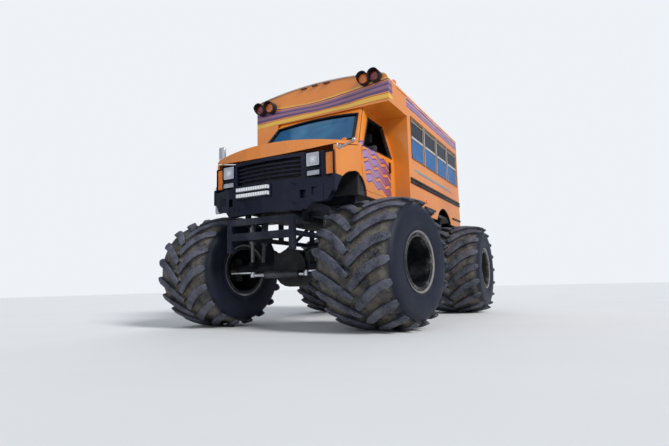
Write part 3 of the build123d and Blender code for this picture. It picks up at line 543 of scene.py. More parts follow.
rubber = Finish("tyre_rubber", Specular_IOR_Level=0.16)
read = rubber.node("ShaderNodeAttribute", {"attribute_name": "wheel_place"}, {}, "Vector")
_, from_axle, proud = rubber.axes(read)
patchy = rubber.noise(5.0, 6.0, 0.65)
grit = rubber.noise(70.0, 4.0, 0.7)
trough = (1.0 - proud.swell(0.004, 0.045)) * from_axle.swell(0.700, 0.745)
packed = trough * (patchy * 0.65 + grit * 0.35).swell(0.36, 0.60)
# The bars' tops are lighter and bluer in patches: partly scuffs, partly a painted highlight of the
# sky on the tops.
scuffs_and_top_highlight = proud.swell(0.036, 0.052) * (patchy * 0.5 + grit * 0.5).swell(0.34, 0.62)
flank = 1.0 - from_axle.swell(0.66, 0.74)
# Lighter blue-grey patches over the sidewalls.
flank_patches = flank * (patchy * 0.6 + grit * 0.4).swell(0.40, 0.72)
bead = from_axle.between(0.340, 0.376) * (grit * 0.6 + patchy * 0.4).swell(0.30, 0.55)
ribs = between_rows(from_axle, [(0.420, 0.428), (0.470, 0.477), (0.655, 0.663)])
tone = (0.010, 0.013, 0.023)
for share, dust in (
    (packed * 0.75, (0.205, 0.180, 0.145)), (scuffs_and_top_highlight * 0.85, (0.150, 0.152, 0.185)),
    (flank_patches * 0.35, (0.030, 0.035, 0.060)), (bead * 0.8, (0.30, 0.28, 0.26)),
):
    tone = rubber.mix(share, tone, dust)
rubber.set(
    Base_Color=tone,
    Roughness=(packed + scuffs_and_top_highlight + bead) * 0.25 + 0.48,
    Normal=rubber.bump(grit, 0.006, 0.5, rubber.bump(patchy + ribs * 0.5, 0.012, 0.4)),
)
for name, side, axle, steering in wheel_corners:
    tyre = copied(tyre_form, "dusty_tyre_" + name, wheel_place(side, axle, steering))
    dressed(tyre, rubber, "wheel_" + name)
    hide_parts("tyre_" + name)
removed(tyre_form)

# Bus body shell
# A welded steel box with a bowed roof, enamelled school bus orange under clear coat, with
# airbrushed stripes along its upper edges. Black rub rails are screwed to each side.
bus_half = 1.220
cap_low = 3.265
window_pitch = 0.725


def orange_paint(name, marks=None, dark=None, seams=None):
    """Orange enamel under clear coat, dusty low down, with its stripes, its black parts, its faces
    painted near black as painted shade, and the height of its joints and rivets."""
    finish = Finish(name, Coat_Roughness=0.08)
    x, y, z = finish.axes()
    faded = finish.noise(1.3, 3.0).swell(0.3, 0.7)
    colour = finish.mix(faded, (0.78, 0.245, 0.022), (0.70, 0.205, 0.016))
    for mask, tint in marks(finish, x, y, z) if marks else []:
        colour = finish.mix(mask, colour, tint)
    streaks = finish.noise(1.0, 5.0, 0.6, finish.stretched((6.0, 6.0, 0.8)))
    low = 1.0 - z.swell(1.70, 2.55)
    grime = wear(finish, 2.2, 0.40, 0.70) * (low * 0.45 + 0.06) + streaks.swell(0.58, 0.80) * 0.10
    colour = finish.mix(grime, colour, (0.26, 0.19, 0.12))
    shine = (1.0 - grime) * 0.55
    rough = grime * 0.5 + 0.30
    if dark:
        black = dark(finish, x, y, z)
        # Near black with some dust: black parts, and faces darkened as painted shade.
        black_and_painted_shade = finish.mix(wear(finish, 4.0) * 0.4, (0.012, 0.013, 0.018), (0.07, 0.065, 0.06))
        colour = finish.mix(black, colour, black_and_painted_shade)
        shine = shine * (1.0 - black)
        rough = rough + black * 0.3
    peel = finish.bump(finish.noise(240.0, 2.0), 0.0008, 0.25)
    if seams:
        peel = finish.bump(seams(finish, x, y, z), 0.003, 0.6, peel)
    finish.set(Base_Color=colour, Roughness=rough, Coat_Weight=shine, Normal=peel)
    return finish


yellow, teal, pale = (0.80, 0.46, 0.04), (0.05, 0.30, 0.33), (0.72, 0.70, 0.76)
lilac, purple, plum = (0.33, 0.21, 0.47), (0.085, 0.030, 0.15), (0.27, 0.115, 0.185)
brown = (0.22, 0.05, 0.02)


def side_marks(finish, x, y, z):
    """Stripes under the roof, and one thin stripe under the windows."""
    ragged = finish.noise(1.0, 4.0, 0.6, finish.stretched((1.0, 2.4, 14.0))) * 0.05
    edge = z + ragged - 0.025
    behind = y - front_axle
    behind_cap = behind > 1.02
    dark_rows = [(3.430, 3.452), (3.478, 3.500), (3.545, 3.570)]
    return [
        (between_rows(edge, dark_rows) * behind_cap, purple),
        (between_rows(edge, [(3.452, 3.478), (3.515, 3.545)]) * behind_cap, lilac),
        (edge.between(3.580, 3.596) * behind_cap, pale),
        (z.between(2.405, 2.432) * behind.between(1.75, 3.90), teal),
        (z.between(2.385, 2.397) * behind.between(1.95, 4.10), purple),
    ]


def cap_marks(finish, x, y, z):
    """Level stripes over the lower half of the roof's front."""
    wavy = finish.noise(1.0, 3.0, 0.5, finish.stretched((1.4, 1.0, 5.0))) * 0.06 - 0.03
    spread = (z - cap_low) / ((x * x + 0.12).root() * 0.30 + 0.62) + wavy - x * 0.02
    front = y < front_axle + 0.90
    bands = [
        (yellow, [(0.028, 0.102)]),
        (purple, [(0.128, 0.176), (0.226, 0.262), (0.318, 0.335)]),
        (plum, [(0.176, 0.226), (0.262, 0.300)]),
        (brown, [(0.102, 0.110), (0.020, 0.028)]),
        (yellow, [(0.340, 0.362)]),
    ]
    return [(between_rows(spread, rows) * front, tint) for tint, rows in bands]


def body_inside(finish, x, y, z):
    """Inner faces and the floor's underside, painted near black as painted shade."""
    behind = y.between(front_axle + 1.52, front_axle + 4.60)
    return (abs(x) < bus_half - 0.012) * behind * (z < 3.52)


def side_seams(finish, x, y, z):
    """Upright panel joints between the windows with rivets beside them, and two rows of rivets."""
    bay = ((y - front_axle - 1.6435) / window_pitch).saw()
    joint = bay < 0.010
    upright = bay.between(0.028, 0.042) * (z * 14.0).saw().between(0.0, 0.14)
    level = between_rows(z, [(2.530, 2.541), (3.372, 3.383)])
    return upright + level * (y * 14.0).saw().between(0.0, 0.14) - joint


def roof_seams(finish, x, y, z):
    """The roof's cross joints, each a folded strip with rivets on both sides."""
    bay = ((y - front_axle - 1.10) / 0.88).saw()
    beside = between_rows(bay, [(0.060, 0.073), (0.925, 0.938)])
    return beside * (x * 12.0).saw().between(0.0, 0.15) + (bay < 0.030)


side_paint = orange_paint("side_paint", side_marks, body_inside, side_seams)
cap_paint = orange_paint("cap_paint", cap_marks)
plain_paint = orange_paint("plain_paint")
roof_paint = orange_paint("roof_paint", seams=roof_seams)
coat_node(side_paint, "bus_side_left", "bus_side_right", "bus_front_wall", "bus_rear_wall")
coat_node(cap_paint, "front_cap")
coat_node(roof_paint, "bus_roof")
floor_black = painted_black("floor_black", (0.02, 0.02, 0.022), dust_tan, 0.35, 0.6)
coat_node(floor_black, "bus_floor")


def sharp_block(name, low, high):
    """A sharp box between two corners, measured behind the front axle."""
    size = [top - bottom for bottom, top in zip(low, high)]
    middle = [(top + bottom) / 2 for bottom, top in zip(low, high)]
    middle[1] += front_axle
    cube = bpy.ops.mesh.primitive_cube_add
    return settled(added(cube, name, size=1, location=middle, scale=size))


def block(name, low, high, round_r=0.004, segments=2):
    """A block between two corners, with rounded edges."""
    piece = finished(sharp_block(name, low, high), "BEVEL", width=round_r, segments=segments)
    bpy.ops.object.shade_smooth_by_angle(angle=radians(40))
    return piece


def open_frame(name, low, high, border, across, round_r=0.004):
    """A rectangular frame between two corners, open along one axis: 0 for x, 1 for y."""
    piece = sharp_block(name, low, high)
    bpy.ops.object.mode_set(mode="EDIT")
    bpy.ops.mesh.select_all(action="DESELECT")
    shape = bmesh.from_edit_mesh(piece.data)
    for face in shape.faces:
        face.select_set(abs(face.normal[across]) > 0.9)
    bmesh.update_edit_mesh(piece.data)
    bpy.ops.mesh.inset(thickness=border, use_even_offset=True)
    bpy.ops.mesh.delete(type="ONLY_FACE")
    bpy.ops.mesh.select_all(action="DESELECT")
    shape = bmesh.from_edit_mesh(piece.data)
    for edge in shape.edges:
        edge.select_set(edge.is_boundary)
    bmesh.update_edit_mesh(piece.data)
    bpy.ops.mesh.bridge_edge_loops()
    bpy.ops.object.mode_set(mode="OBJECT")
    finished(piece, "BEVEL", width=round_r, segments=2, limit_method="ANGLE")
    bpy.ops.object.shade_smooth_by_angle(angle=radians(40))
    return piece


def corners(side, xs, ys, zs):
    """A box's low and high corner, from its spans, with x mirrored on the right-hand side."""
    return zip(sorted(side * x for x in xs), ys, zs)


black_rubber = painted_black("black_rubber", (0.008, 0.009, 0.013), dust_grey, 0.22, 0.45)
rail_rows = [
    # from and to behind the front axle, lower and upper edge
    (1.56, 4.60, 2.222, 2.262), (1.56, 4.60, 2.168, 2.208),
    (2.20, 2.82, 1.840, 1.875), (4.00, 4.60, 1.840, 1.875),
]
rail_x = (bus_half - 0.004, bus_half + 0.020)
rails = [
    block("rail", *corners(side, rail_x, (start, stop), (low, high)), 0.008, 3)
    for side in (1, -1) for start, stop, low, high in rail_rows
]
fitted("rub_rails", rails, black_rubber)

# Roof edge, gutters and corner lamps
# A pale drip moulding is folded along the roof's front edge, and a gutter runs down each
# side. Small amber lamps are screwed to the corners and sides, and dark ones to the middle.
cap_front = 0.747


def piped(name, points, radius, closed=False, smooth=False):
    """A round bar along points that are measured behind the front axle."""
    line = bpy.data.curves.new(name, "CURVE")
    line.dimensions = "3D"
    line.bevel_depth = radius
    line.bevel_resolution = 3
    line.use_fill_caps = True
    spline = line.splines.new("NURBS" if smooth else "POLY")
    spline.points.add(len(points) - 1)
    for point, (x, y, z) in zip(spline.points, points):
        point.co = (x, y + front_axle, z, 1)
    spline.use_cyclic_u = closed
    if smooth:
        spline.order_u = 3
        spline.use_endpoint_u = not closed
    piece = bpy.data.objects.new(name, line)
    scene.collection.objects.link(piece)
    picked(piece)
    bpy.ops.object.convert(target="MESH")
    piece = bpy.context.object
    bpy.ops.object.shade_smooth_by_angle(angle=radians(50))
    return piece


def roof_z(x):
    """Height of the roof's edge, low at the eaves and bowed over the middle."""
    points = [
        (0.0, 3.826), (0.50, 3.806), (0.80, 3.772), (1.10, 3.731), (1.185, 3.695), (1.215, 3.620),
    ]
    return read_off(points, abs(x), 3.60)


pale_trim = painted_black("pale_trim", (0.52, 0.50, 0.47), (0.35, 0.29, 0.22), 0.5, 0.35, 0.2)
roof_points = [
    (x / 100, cap_front - 0.004, roof_z(x / 100) - 0.010) for x in range(-115, 116, 5)
]
dressed(piped("roof_moulding", roof_points, 0.010), pale_trim, "chassis")
gutter_x, gutter_z = bus_half + 0.002, 3.604
gutters = [
    piped("gutter", [(side * gutter_x, y, gutter_z) for y in (1.10, 4.60)], 0.011)
    for side in (1, -1)
]
fitted("roof_gutters", gutters, plain_paint)


def lens(name, centre, radius, depth, facing):
    """A domed lamp lens, facing along a direction."""
    dome = [(0, 0), (0, 1), (0.35, 1), (0.62, 0.90), (0.84, 0.62), (0.95, 0.30), (1, 0)]
    profile = [(along * depth, r * radius) for along, r in dome]
    form = turned(name, profile, 32, 50)
    turn = Vector((1, 0, 0)).rotation_difference(Vector(facing)).to_matrix().to_4x4()
    spot = Matrix.Translation((centre[0], centre[1] + front_axle, centre[2]))
    return settled(form, spot @ turn)


def lamp_lens_finish(name, colour):
    """Moulded plastic lens with a grid of small prisms."""
    finish = Finish(name, Coat_Weight=0.8, Coat_Roughness=0.05)
    prisms_a_metre = 70.0
    x, _, z = finish.axes()
    across, upward = [(axis * prisms_a_metre).saw().between(0.15, 0.85) for axis in (x, z)]
    patches = finish.noise(8.0).swell(0.35, 0.7)
    finish.set(
        Base_Color=finish.mix(patches, colour, [part * 0.6 for part in colour]),
        Roughness=finish.noise(20.0) * 0.15 + 0.12,
        Normal=finish.bump(across * upward, 0.004, 0.5),
    )
    return finish


amber_lens = lamp_lens_finish("amber_lens", (0.85, 0.20, 0.015))
red_lens = lamp_lens_finish("red_lens", (0.20, 0.006, 0.010))
dark_lens = lamp_lens_finish("dark_lens", (0.10, 0.02, 0.015))
amber_spots = [
    # middle along x, half width, spans along y and z, rounding
    (1.186, 0.024, (1.03, 1.13), (3.665, 3.715), 0.012),
    (1.222, 0.012, (2.29, 2.37), (1.935, 2.005), 0.010),
]
corner_lamps = [
    block("lamp", *corners(side, (x - half, x + half), ys, zs), round_r, 3)
    for x, half, ys, zs, round_r in amber_spots for side in (1, -1)
]
fitted("corner_lamps", corner_lamps, amber_lens)
middle_y = (cap_front - 0.030, cap_front + 0.010)
middle_lamps = [
    block("lamp", *corners(
        1, (x - 0.055, x + 0.055), middle_y, (roof_z(x) - 0.050, roof_z(x) - 0.022),
    ), 0.010, 3)
    for x in (-0.26, -0.045, 0.17)
]
fitted("middle_lamps", middle_lamps, dark_lens)

# Warning lamps
# Round school bus warning lamps, red outside and amber inside, bolted to the cap and to the
# rear wall. Those on the cap stand in black housings with a visor over the top half.
front_warning = [
    # x, z and colour of each lens
    (-1.102, 3.570, red_lens), (-0.900, 3.570, amber_lens),
    (0.845, 3.672, amber_lens), (1.030, 3.680, red_lens),
]
housing = Finish("warning_body")
housing_z = housing.axes()[2]
highest_marker, ridges_a_metre = 2.6, 60.0
nose_marker = housing_z < highest_marker
housing.set(
    Base_Color=housing.mix(nose_marker, (0.012, 0.012, 0.016), (0.80, 0.21, 0.02)),
    Roughness=housing.noise(12.0) * 0.2 + 0.15,
    Normal=housing.bump((housing_z * ridges_a_metre).saw(), 0.003, 0.35),
)
coat_node(housing, "amber_lamps")
visor_depth = 0.150


def visor(name, x, z, front):
    """A half tube over a lamp, open below, and the lamp's black rim."""
    section = [(-visor_depth, 0.088), (-visor_depth, 0.094), (0.0, 0.096), (0.0, 0.088)]
    form = settled(turned(name, section, 40, 50), Matrix.Rotation(pi / 2, 4, "Z"))
    slant = {"plane_co": (0, -visor_depth, 0.03), "plane_no": (0, 0.80, 0.60)}
    edited((bpy.ops.mesh.bisect, {**slant, "use_fill": True, "clear_inner": True}))
    return settled(form, Matrix.Translation((x, front + front_axle, z)))


visors = [visor("visor", x, z, cap_front) for x, z, colour in front_warning]
for name, colour in (("red", red_lens), ("amber", amber_lens)):
    domes = [
        lens("dome", (x, cap_front - 0.068, z), 0.078, 0.030, (0, -1, 0))
        for x, z, tint in front_warning if tint is colour
    ]
    fitted("front_warning_" + name, domes, colour)
fitted("lamp_visors", visors, black_rubber)
rear_y = 4.620
rear_lenses = [
    # name, colour, x and z of the upper pair and of the lower pair
    ("red", red_lens, (1.03, 3.50), (0.98, 2.02)),
    ("amber", amber_lens, (0.82, 3.50), (0.98, 2.22)),
]
for name, colour, *pairs in rear_lenses:
    domes = [
        lens("dome", (side * x, rear_y - 0.002, z), 0.080, 0.034, (0, 1, 0))
        for x, z in pairs for side in (-1, 1)
    ]
    fitted("rear_lamps_" + name, domes, colour)

# Side windows
# Two-part sliding windows in pale aluminium frames, set in black rubber. The lower sash
# carries a painted reflection of a blue sky, the upper one is darker, with a pale bar where they
# meet.
window_low, window_high, sill = 2.600, 3.300, 2.965
window_w, window_first = 0.645, 1.680
rubber_lap, sash_inset = 0.012, 0.014
sash_glass = Finish("sky_painted_glass")
smears_and_sky_mottle = sash_glass.noise(2.0, 4.0).swell(0.45, 0.75)
upper = sash_glass.axes()[2] > sill
# A painted reflection of a blue sky, mottled, on the lower sash.
blue = sash_glass.mix(smears_and_sky_mottle, (0.020, 0.13, 0.36), (0.035, 0.17, 0.42))
sash_glass.set(
    Base_Color=sash_glass.mix(upper, blue, (0.006, 0.007, 0.014)),
    Roughness=smears_and_sky_mottle * 0.10 + 0.03,
    Alpha=upper * 0.08 + 0.84,
)
coat_node(sash_glass, "bus_windows")
rubbers, sashes, posts = [], [], []
rubber_x = (bus_half - 0.018, bus_half + 0.008)
sash_x = (bus_half - 0.020, bus_half + 0.002)
post_x = (bus_half - 0.004, bus_half + 0.006)
for side in (1, -1):
    for row in range(4):
        start = window_first + row * window_pitch
        stop = start + window_w
        rubbers.append(open_frame("rubber", *corners(
            side, rubber_x, (start - rubber_lap, stop + rubber_lap),
            (window_low - rubber_lap, window_high + rubber_lap),
        ), 0.026, 0))
        sashes.append(open_frame("sash", *corners(
            side, sash_x, (start + sash_inset, stop - sash_inset),
            (window_low + sash_inset, window_high - sash_inset),
        ), 0.020, 0))
        for low, high, inset, round_r in (
            (sill - 0.020, sill + 0.020, 0.020, 0.005),
            (window_high - 0.060, window_high - 0.048, 0.030, 0.003),
        ):
            bar_y = (start + inset, stop - inset)
            sashes.append(block("bar", *corners(side, sash_x, bar_y, (low, high)), round_r))
        if row > 0:
            post_y, post_z = (start - 0.052, start - 0.018), (window_low, window_high)
            posts.append(block("post", *corners(side, post_x, post_y, post_z)))
fitted("window_rubbers", rubbers, black_rubber)
fitted("window_sashes", sashes, pale_trim)
fitted("window_posts", posts, pale_trim)

# Van cab, fenders and driver's door
# Pressed steel of a van cab, welded to the bus body and enamelled to match, with wheel wells
# and inner faces painted black as painted shade, and an airbrushed flash of slanted bars on
# each side. The door hangs on two hinges.
belt_z, cab_top = 2.500, 3.265
cab_half_low, cab_half_top = 0.975, 0.780
cab_front_low, cab_front_top = 0.190, 0.785
half_slope = (cab_half_top - cab_half_low) / (cab_top - belt_z)
front_slope = (cab_front_top - cab_front_low) / (cab_top - belt_z)


def cab_half(z):
    """Half the cab's width at a height above the belt line."""
    return cab_half_low + (z - belt_z) * half_slope


def cab_front(z):
    """How far behind the front axle the cab's sloping front is at a height."""
    return cab_front_low + (z - belt_z) * front_slope


def flash_marks(finish, x, y, z):
    """Slanted bars with toothed edges, lilac with purple lines, behind the wheel arch."""
    behind = y - front_axle
    tooth = abs((behind * 3.1 + z * 1.3).saw() - 0.5) * 0.13
    rise = z + behind * 0.16 + tooth + finish.noise(3.0) * 0.05
    taper = (behind + z * 0.30).swell(0.92, 1.10) * (1.0 - behind.swell(1.18, 1.46))
    shown = taper * (abs(x) > 0.90) > 0.5
    bars = [(2.175, 2.265), (2.320, 2.420), (2.475, 2.565), (2.620, 2.680)]
    lines = [(low - 0.010, low + 0.006) for low, high in bars]
    lines += [(high - 0.006, high + 0.010) for low, high in bars]
    deep = finish.mix(behind.swell(0.5, 1.3), (0.36, 0.20, 0.44), (0.22, 0.04, 0.12))
    return [(between_rows(rise, bars) * shown, deep), (between_rows(rise, lines) * shown, purple)]


def cab_inside(finish, x, y, z):
    """Inner faces, the wheel wells and the wall behind the hood, painted black as painted shade.
    """
    above = ((z - belt_z) > 0.0) * (z - belt_z)
    within = abs(x) < above * half_slope + (cab_half_low - 0.014)
    behind_front = y > above * front_slope + (cab_front_low + front_axle + 0.014)
    inner = within * behind_front * (z < cab_top - 0.010)
    lower = within * (z < belt_z - 0.010)
    return inner + lower * (1.0 - inner)


def fender_inside(finish, x, y, z):
    """The fenders' inner faces below the hood, painted black as painted shade behind the grille.
    """
    return (abs(x) < 0.958) * (z < 2.262)


cab_paint = orange_paint("cab_paint", flash_marks, cab_inside)
fender_paint = orange_paint("fender_paint", flash_marks, fender_inside)
coat_node(cab_paint, "cab_shell", "driver_door")
coat_node(fender_paint, "fenders")
window_line = [(0.330, 2.520), (0.850, 3.105), (1.385, 3.105), (1.410, 2.560)]
gasket_points = [(cab_half(z) + 0.002, y, z) for y, z in window_line]
door_gasket = piped("door_gasket", gasket_points, 0.011, closed=True)
handle = [
    block("handle", (0.974, 1.258, 2.295), (1.004, 1.288, 2.465), 0.010, 3),
    block("handle", (0.970, 1.250, 2.285), (0.982, 1.298, 2.475), 0.005),
]
fitted("door_trim", [door_gasket, *handle], black_rubber, "driver_door")

# Windscreen
# Laminated glass with a painted reflection of a cloudy blue sky, bonded into a wide black
# border. A rubber seal runs round it, and two wipers lie along its foot.
screen_low_z, screen_high_z, screen_rise = 2.630, 3.150, 0.060
screen = Finish("windscreen_glass")
screen_x, _, screen_z = screen.axes()
arch_top = (1.0 - screen_x * screen_x / 0.54) * screen_rise + screen_high_z
inner_half = cab_half_low - 0.150 - (screen_z - belt_z) * 0.235
clear = (screen_z > screen_low_z + 0.035) * (screen_z < arch_top - 0.050)
clear = clear * (abs(screen_x) < inner_half)
# A painted reflection of a cloudy blue sky on the clear glass.
painted_sky_mottle = screen.noise(1.2, 3.0).swell(0.35, 0.65)
painted_sky_reflection = screen.mix(painted_sky_mottle, (0.018, 0.10, 0.22), (0.05, 0.20, 0.34))
screen.set(
    Base_Color=screen.mix(clear, (0.006, 0.007, 0.010), painted_sky_reflection),
    Roughness=screen.noise(6.0) * 0.06 + 0.04,
    Alpha=1.0 - clear * 0.12,
)
coat_node(screen, "windscreen")
low_half, high_half = cab_half(screen_low_z) - 0.090, cab_half(screen_high_z) - 0.075
shares = [1 - step / 6 for step in range(13)]
arch = [(high_half * share, screen_high_z + screen_rise * (1 - share ** 2)) for share in shares]
outline = [(-low_half, screen_low_z), (low_half, screen_low_z), *arch]
seal_points = [(x, cab_front(z) - 0.004, z) for x, z in outline]
seal = piped("windscreen_seal", seal_points, 0.014, closed=True)
wipers = []
for foot, tip in ((0.62, 0.10), (-0.02, -0.56)):
    arm = [(foot, 0.022, 2.600), ((foot + tip) / 2, 0.030, 2.660), (tip, 0.020, 2.700)]
    blade = [(tip + 0.25, 0.012, 2.672), (tip - 0.20, 0.012, 2.735)]
    for kind, line, radius in (("wiper", arm, 0.007), ("blade", blade, 0.006)):
        wipers.append(piped(kind, [(x, cab_front(z) - off, z) for x, off, z in line], radius))
fitted("windscreen_trim", [seal, *wipers], black_rubber)

# Hood
# One pressed steel panel with a raised crown and a rolled front lip, hinged at the cowl and
# enamelled like the body.
coat_node(orange_paint("hood_paint"), "hood")

# Grille, lamps and nose trim
# A moulded black grille with bars, square lamps with reflectors behind clear lenses whose
# glare is painted, and amber side markers, each in a black surround.
nose_black = painted_black("nose_black", (0.004, 0.006, 0.018), (0.07, 0.07, 0.09), 0.10, 0.26)
coat_node(nose_black, "grille")
lamp_glass = Finish("lamp_glass", Specular_IOR_Level=0.6, Coat_Weight=0.8, Coat_Roughness=0.03)
lamp_x, _, lamp_z = lamp_glass.axes()
headlamp_x, headlamp_z = 0.6865, 2.1565
from_lamp_x = (abs(lamp_x) - headlamp_x) * 11.5
from_lamp_z = (lamp_z - headlamp_z) * 12.5
bowl = (from_lamp_x * from_lamp_x + from_lamp_z * from_lamp_z).root()
square = abs(from_lamp_x).larger(abs(from_lamp_z))
flutes = abs((lamp_x * 42.0).saw() - 0.5) + abs((lamp_z * 30.0).saw() - 0.5) * 0.6
# Painted glare on the reflectors: bright in the middle and darker outwards, with a dark ring and a
# brighter square rim on the upper lamps.
reflector_painted_glare = lamp_glass.mix(bowl.swell(0.15, 0.75), (0.80, 0.82, 0.84), (0.42, 0.43, 0.46))
reflector_painted_glare = lamp_glass.mix(bowl.between(0.28, 0.36) * 0.6, reflector_painted_glare, (0.10, 0.10, 0.12))
reflector_painted_glare = lamp_glass.mix(square.swell(0.86, 1.0) * (lamp_z > 2.05), reflector_painted_glare, (0.62, 0.63, 0.66))
# The light bars' cells are painted bright and dark in turn, as painted reflections in their
# reflectors.
light_bar = lamp_z < 1.90
cells = abs((lamp_x * 26.0).saw() - 0.5).swell(0.34, 0.48)
lit = lamp_glass.mix(cells, (0.80, 0.80, 0.82), (0.30, 0.31, 0.34))
reflector_painted_glare = lamp_glass.mix(light_bar, reflector_painted_glare, lit)
lamp_glass.set(
    Base_Color=reflector_painted_glare,
    Roughness=lamp_glass.noise(18.0) * 0.1 + 0.10,
    Metallic=(1.0 - light_bar) * 0.35,
    Normal=lamp_glass.bump(flutes, 0.006, 0.6),
)
coat_node(lamp_glass, "clear_lamps")
lamp_openings = [
    # inner and outer x, lower and upper edge, front
    ((0.583, 0.790), (2.061, 2.252), -0.600),
    ((0.590, 0.790), (1.938, 2.020), -0.600),
    ((0.832, 0.950), (1.940, 2.246), -0.540),
]
surrounds = [
    open_frame("surround", *corners(side, xs, (front - 0.006, front + 0.045), zs), 0.013, 1, 0.005)
    for side in (1, -1) for xs, zs, front in lamp_openings
]
fitted("lamp_surrounds", surrounds, nose_black)

# Radiator baffles
# Two moulded rubber panels beside the radiator, clipped to its support, which close the way
# past it so that the air goes through the fins.
baffles = [
    block("baffle", *corners(side, (0.40, 0.62), (-0.528, -0.488), (1.93, 2.228)), 0.006)
    for side in (1, -1)
]
fitted("radiator_baffles", baffles, black_rubber)

# Bumper
# Thick folded steel in dark blue-black, with wings that run back to the wheel wells and square
# holes for tow hooks. Two light bars are bolted on, and a dark plate closes the holes as painted
# shade inside them.
coat_node(nose_black, "bumpers")
# The plate behind the tow hook holes is a dark sheet of painted shade.
bumper_trim = [block("shade_plate", (-0.84, -0.610, 1.60), (0.84, -0.595, 1.83), 0.004)]
bolt_x, bolt_y = 0.47, front_axle - 0.738
for side in (1, -1):
    for z in (1.60, 1.85):
        spot = (side * bolt_x, bolt_y, z)
        bumper_trim.append(bolt_head("bolt", 0.014, 0.020, spot, (pi / 2, 0, 0)))
fitted("bumper_trim", bumper_trim, nose_black)

# Mirrors
# Two tall mirror heads with bright backs on a bent chromed tube on the right, and on the left
# the bright plate and the ball that its own mirror was bolted to.
chrome = painted_black("bright_chrome", (0.62, 0.64, 0.68), (0.30, 0.28, 0.25), 0.35, 0.12, 1.0)
mirror_x, mirror_foot_x = -1.100, -0.975
mirror_tubes = [
    # radius, then the points of the upright, the lower stay and the upper stay
    (0.014, (mirror_x, -0.312, 1.85), (mirror_x, -0.250, 1.95),
     (mirror_x - 0.01, -0.225, 2.25), (mirror_x, -0.245, 2.58)),
    (0.014, (mirror_x, -0.245, 2.16), (-1.03, -0.255, 2.23), (mirror_foot_x, -0.260, 2.27)),
    (0.012, (mirror_x, -0.235, 2.40), (-1.03, -0.255, 2.32), (mirror_foot_x, -0.260, 2.29)),
]
mirror_parts = [
    block("head", (mirror_x - 0.065, -0.345, 1.650), (mirror_x + 0.065, -0.300, 2.060), 0.020, 4),
    block("head", (mirror_x - 0.065, -0.275, 2.480), (mirror_x + 0.055, -0.230, 2.680), 0.020, 4),
    *(piped("tube", points, radius, smooth=True) for radius, *points in mirror_tubes),
    block("foot", (-0.995, -0.300, 2.235), (-0.965, -0.220, 2.315), 0.008, 3),
]
mirror = fitted("mirror_right", mirror_parts, chrome)
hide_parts("mirrors")
arm_points = [(0.985, -0.380, 2.330), (0.998, -0.20, 2.40), (1.000, 0.0, 2.515)]
ball_parts = [
    block("plate", (0.962, -0.480, 2.290), (0.994, -0.380, 2.345), 0.010, 3),
    piped("arm", arm_points, 0.012, smooth=True),
    lens("ball", (0.975, 0.0, 2.515), 0.030, 0.045, (1, 0, 0)),
]
fitted("mirror_mount_left", ball_parts, chrome)

# Doors and rear glass
# The entry door folds in two leaves with tall glass in black rubber. The rear door is one
# steel leaf with a dusty glass above its handle, and a window stands on each side of it.


def entry_dark(finish, x, y, z):
    """The two leaves' glass, painted dark as painted shade of the inside behind it, and the rubber
    where they meet.
    """
    behind = y - front_axle
    leaves = between_rows(behind, [(0.900, 1.200), (1.220, 1.520)])
    panes = leaves * between_rows(z, [(1.950, 2.490), (2.570, 3.110)])
    meet = behind.between(1.201, 1.219)
    return panes + meet * (1.0 - panes)


coat_node(orange_paint("entry_paint", dark=entry_dark), "entry_door")
coat_node(plain_paint, "rear_door")
rear_glass = Finish("rear_glass")
rear_glass.set(
    Base_Color=rear_glass.mix(wear(rear_glass) * 0.4, (0.010, 0.030, 0.055), (0.20, 0.18, 0.15)),
    Roughness=wear(rear_glass, 2.0) * 0.3 + 0.05,
)
coat_node(rear_glass, "rear_door_glass")
seal_y = (rear_y - 0.010, rear_y + 0.006)
rear_trim = [
    open_frame("seal", *corners(1, (-0.330, 0.330), seal_y, (2.630, 3.270)), 0.024, 1),
    block("handle", (0.330, rear_y - 0.004, 2.380), (0.360, rear_y + 0.030, 2.540), 0.010, 3),
]
fitted("rear_door_trim", rear_trim, black_rubber, "rear_door")
rear_seals = [
    open_frame("seal", *corners(side, (0.525, 1.115), seal_y, (2.585, 3.315)), 0.022, 1)
    for side in (1, -1)
]
fitted("rear_window_seals", rear_seals, black_rubber)

# Driver's seat
# A high-backed seat in dark grey cloth over foam, on a boxed steel pedestal. Its base, back
# and headrest are separate cushions, sewn in upright channels.


def cushion(name, low, high, swell, voxel=0.010, corner=0.035):
    """A foam pad that fills a box, swollen by a cloth simulation with pressure inside it."""
    pad = block(name, low, high, corner, 3)
    finished(pad, "REMESH", mode="VOXEL", voxel_size=voxel)
    start = [vertex.co.copy() for vertex in pad.data.vertices]
    cloth = pad.modifiers.new("swelling", "CLOTH")
    cover = cloth.settings
    cover.quality = 4
    cover.use_pressure = True
    cover.uniform_pressure_force = 4.0
    cover.effector_weights.gravity = 0.0
    cover.tension_stiffness = cover.compression_stiffness = 40
    cover.bending_stiffness = 2
    for step in range(1, 21):
        scene.frame_set(step)
    bpy.context.view_layer.objects.active = pad
    bpy.ops.object.modifier_apply(modifier=cloth.name)
    scene.frame_set(1)
    for vertex, begin in zip(pad.data.vertices, start):
        moved = vertex.co - begin
        if moved.length > swell:
            vertex.co = begin + moved.normalized() * swell
    bpy.ops.object.shade_smooth()
    return pad


def leaned(pad, foot, slope):
    """Leans a cushion back about the x axis through its foot, given behind the front axle."""
    spot = Matrix.Translation((0, foot[0] + front_axle, foot[1]))
    return settled(pad, spot @ Matrix.Rotation(-slope, 4, "X") @ spot.inverted())


